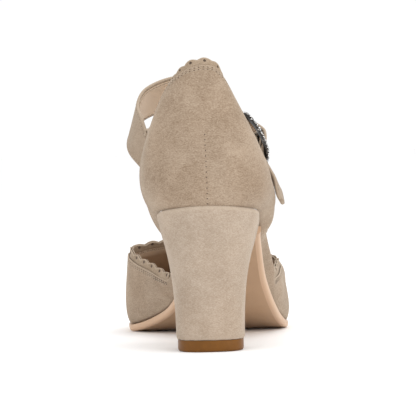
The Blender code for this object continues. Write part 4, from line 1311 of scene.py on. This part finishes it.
def seat_ring():
    """The heel's outline at the seat, point for point with the one at the floor."""
    ring = []
    for k in range(4 * AROUND):
        angle = math.pi / 2 * k / AROUND
        side = "inner" if k <= 2 * AROUND else "outer"
        if math.cos(angle) > 1e-9:
            y = HEEL_CENTRE - (HEEL_CENTRE - SEAT_BACK) * math.cos(angle) ** (2 / HEEL_ROUNDNESS)
            wide_share = abs(math.sin(angle)) ** (2 / HEEL_ROUNDNESS)
        else:
            deep = abs(math.cos(angle)) ** (2 / BREAST_ROUNDNESS)
            y = HEEL_CENTRE + (HEEL_BREAST - GAP - HEEL_CENTRE) * deep
            wide_share = abs(math.sin(angle)) ** (2 / BREAST_ROUNDNESS)
        station = (2 * AROUND - abs(k - 2 * AROUND)) / AROUND if abs(k - 2 * AROUND) > AROUND else 1.1
        high = feather_height(y) - curve_at(SEAT_DROPS, 1, station)
        ring.append((SIGN[side] * outline_half(side, y) * wide_share, y - ORIGIN_BACK, high))
    return np.array(ring)


def ladder_cap(first, size):
    """Closes a ring with faces from side to side."""
    faces = [(first, first + 1, first + size - 1)]
    for k in range(1, size // 2 - 1):
        faces.append((first + k, first + k + 1, first + size - k - 1, first + size - k))
    faces.append((first + size // 2 - 1, first + size // 2, first + size // 2 + 1))
    return faces


def stacked(name, rings, material, node, values=None, sharp=40.0):
    """A solid from level rings, closed at both ends."""
    size = len(rings[0])
    faces = tube_faces(len(rings), size, caps=False)
    faces += [tuple(reversed(face)) for face in ladder_cap(0, size)]
    faces += ladder_cap((len(rings) - 1) * size, size)
    return piece(name, np.concatenate(rings), faces, material, (node,), values, sharp)


foot, seat = foot_ring(TOP_PIECE + GAP), seat_ring()
levels = [0.0, 0.004, 0.010, 0.020, 0.035]
levels += [0.06 + 0.9 * k / 44 for k in range(45)] + [0.972, 0.984, 0.993, 1.0]
COVER_HIGH = 0.062
PULL_WIDE = 0.0005
rings, wear_and_highlight, painted_shade = [], [], []
for level in levels:
    spread, back_share = curve_at(HEEL_LEVELS, 1, level), curve_at(HEEL_LEVELS, 2, level)
    share = np.array((spread, back_share, level))
    ring = foot + (seat - foot) * share
    centre = ring.mean(axis=0)
    height = level * COVER_HIGH
    pull = 0.0005 * math.exp(-height / PULL_WIDE) + 0.00035 * math.exp(-(COVER_HIGH - height) / PULL_WIDE)
    flat = (ring - centre) * np.array((1.0, 1.0, 0.0))
    ring = ring - unit(flat) * pull
    if level == 0.0:
        ring[:, 2] += np.array([chance.uniform(-0.00022, 0.00012) for _ in ring])
    rings.append(ring)
    # A light band at the cover's top edge, painted highlight, and a fainter one just above the lift
    lighter_edges = 0.9 * math.exp(-abs(0.0612 - height) / 0.0006) + 0.25 * math.exp(-height / 0.0008)
    wear_and_highlight.append([lighter_edges] * len(ring))
    painted_shade.append([0.0] * len(ring))
# Where the cover's top turns in under the upper it is painted darker as shade, with a little edge wear and
# painted highlight
flat = unit((rings[-1] - rings[-1].mean(axis=0)) * np.array((1.0, 1.0, 0.0)))
for inset, rise in ((0.0005, 0.0003), (0.0012, 0.0005)):
    rings.append(rings[-1] - flat * inset + np.array((0.0, 0.0, rise)))
    wear_and_highlight.append([0.3] * len(flat))
    painted_shade.append([0.6] * len(flat))
stacked(
    "heel_cover", rings, heel_suede, "heel_block",
    {"wear_and_highlight": np.concatenate(wear_and_highlight), "painted_shade": np.concatenate(painted_shade)}, 70.0,
)

rings = []
for height, inset in ((0.0, 0.0010), (0.00012, 0.0007), (0.0004, 0.0003), (0.0009, 0.00008), (0.0016, 0.0),
                      (0.0030, 0.0), (0.0046, 0.00003), (TOP_PIECE, 0.0001)):
    rings.append(foot_ring(height, TOP_PIECE_INSET + inset))
stacked("top_lift", rings, top_piece_rubber, "heel_top_piece", sharp=50.0)


def sole_loop(stations):
    """Stations along the inner side to the toe and back along the outer side."""
    return [("inner", s) for s in stations] + [("inner", 3.0)] + [("outer", s) for s in reversed(stations)]


breast_station = 1.0 + (HEEL_BREAST + GAP - HEEL_CENTRE) / (TOE_START - HEEL_CENTRE)
stations = [breast_station + (2.0 - breast_station) * k / 90 for k in range(90)]
stations += [2.0 + k / 50 for k in range(50)]
profile = [(0.0004, 0.0), (0.0, 0.0003), (0.0, SOLE_SIDE * 0.6), (0.00012, SOLE_SIDE)]
for k in range(1, 6):
    turn = math.pi / 2 * k / 6
    inset = SOLE_BEVEL * (1 - math.cos(turn)) + 0.00012
    profile.append((inset, SOLE_SIDE + (SOLE_THICK - SOLE_SIDE) * math.sin(turn)))
profile += [(SOLE_BEVEL + inset, SOLE_THICK) for inset in (0.0002, 0.0009, 0.00105, 0.0018)]
ring_points, edge_value = [], []
for side, station in sole_loop(stations):
    x, y = feather_plan(side, station)
    away = outward(side, station)
    top = feather_height(y) - GAP
    for inset, down in profile:
        spot = np.array((x, y - ORIGIN_BACK, top - down)) + away * (SOLE_EDGE - inset)
        ring_points.append(spot)
        edge_value.append(1.0 if inset < SOLE_BEVEL + 0.0010 else 0.0)
rows = len(profile)
count = len(ring_points) // rows
faces = []
for i in range(count - 1):
    for k in range(i * rows, (i + 1) * rows - 1):
        faces.append((k, k + 1, k + 1 + rows, k + rows))
for row in (0, rows - 1):
    for k in range(len(stations)):
        a, b = k * rows + row, (k + 1) * rows + row
        c, d = (count - 2 - k) * rows + row, (count - 1 - k) * rows + row
        face = (a, b, c, d) if b != c else (a, b, d)
        faces.append(face if row == 0 else tuple(reversed(face)))
faces.append(tuple(range(rows)) + tuple((count - 1) * rows + k for k in reversed(range(rows))))
piece(
    "sole_leather", ring_points, faces, sole_leather, ("outsole",), {"edge": edge_value}, 50.0
)

ACROSS = 13
sock = []
stations = [0.04 + 0.96 * k / 20 for k in range(20)] + [1.0 + k / 60 for k in range(60)]
stations += [2.0 + 0.97 * k / 24 for k in range(25)]
for station in stations:
    ends = []
    for side in ("inner", "outer"):
        x, y = feather_plan(side, station)
        ends.append(np.array((x, y - ORIGIN_BACK, feather_height(y))) - outward(side, station) * INSOLE_INSET)
    ring = []
    for k in range(ACROSS):
        u = k / (ACROSS - 1)
        crown = INSOLE_THICK * (1.0 - 0.5 * abs(2 * u - 1) ** 8) - 0.0006 * math.sin(math.pi * u)
        ring.append(ends[0] + (ends[1] - ends[0]) * u + np.array((0.0, 0.0, crown)))
    ring += [ends[1], ends[0]]
    sock += ring
piece(
    "sock_lining", sock, tube_faces(len(stations), ACROSS + 2), sock_leather, ("insole",),
    sharp=50.0,
)


# Floor, light and camera

floor_mesh = bpy.data.meshes.new("floor")
floor_mesh.from_pydata([(-30, -30, 0), (30, -30, 0), (30, 30, 0), (-30, 30, 0)], [], [(0, 1, 2, 3)])
floor_finish = Finish("pale floor", {
    "Roughness": 0.75, "Specular IOR Level": 0.2, "Base Color": (0.99, 0.99, 0.99),
})
floor_mesh.materials.append(floor_finish.material)
floor = bpy.data.objects.new("floor", floor_mesh)
bpy.context.scene.collection.objects.link(floor)

world = bpy.data.worlds.new("studio")
world.use_nodes = True
background = world.node_tree.nodes["Background"]
background.inputs["Color"].default_value = (1.0, 1.0, 1.0, 1.0)
background.inputs["Strength"].default_value = 1.02
bpy.context.scene.world = world
bpy.context.scene.view_settings.view_transform = "Standard"


# Soft lights: place, what each one points at, size in metres and power in watts
SOFTBOXES = {
    "key": ((0.75, -1.0, 0.75), (0.0, 0.05, 0.06), 0.7, 5.6),
    "fill": ((-1.0, -0.6, 0.5), (0.0, 0.05, 0.06), 0.8, 1.5),
    "low side": ((0.9, -0.6, 0.14), (0.03, 0.08, 0.03), 0.4, 1.1),
    "top": ((0.1, 0.3, 1.3), (0.0, 0.08, 0.05), 0.9, 5.0),
}
for name, (place, aim, size, power) in SOFTBOXES.items():
    light = bpy.data.lights.new(name, "AREA")
    light.size, light.energy = size, power
    lamp = bpy.data.objects.new(name, light)
    lamp.location = place
    lamp.rotation_mode = "QUATERNION"
    lamp.rotation_quaternion = (Vector(aim) - Vector(place)).to_track_quat("-Z", "Y")
    bpy.context.scene.collection.objects.link(lamp)

FOCAL = 229.5  # millimetres
PITCH, TILT = math.radians(1.34), math.radians(1.4)
camera_data = bpy.data.cameras.new("camera")
camera_data.lens, camera_data.sensor_width = FOCAL, 36.0
camera_data.clip_start, camera_data.clip_end = 0.05, 100.0
camera = bpy.data.objects.new("camera", camera_data)
look = Matrix.Rotation(math.pi / 2 - PITCH, 4, "X") @ Matrix.Rotation(-TILT, 4, "Z")
camera.matrix_world = Matrix.Translation((0.0002, -1.223, 0.094)) @ look
bpy.context.scene.collection.objects.link(camera)
bpy.context.scene.camera = camera
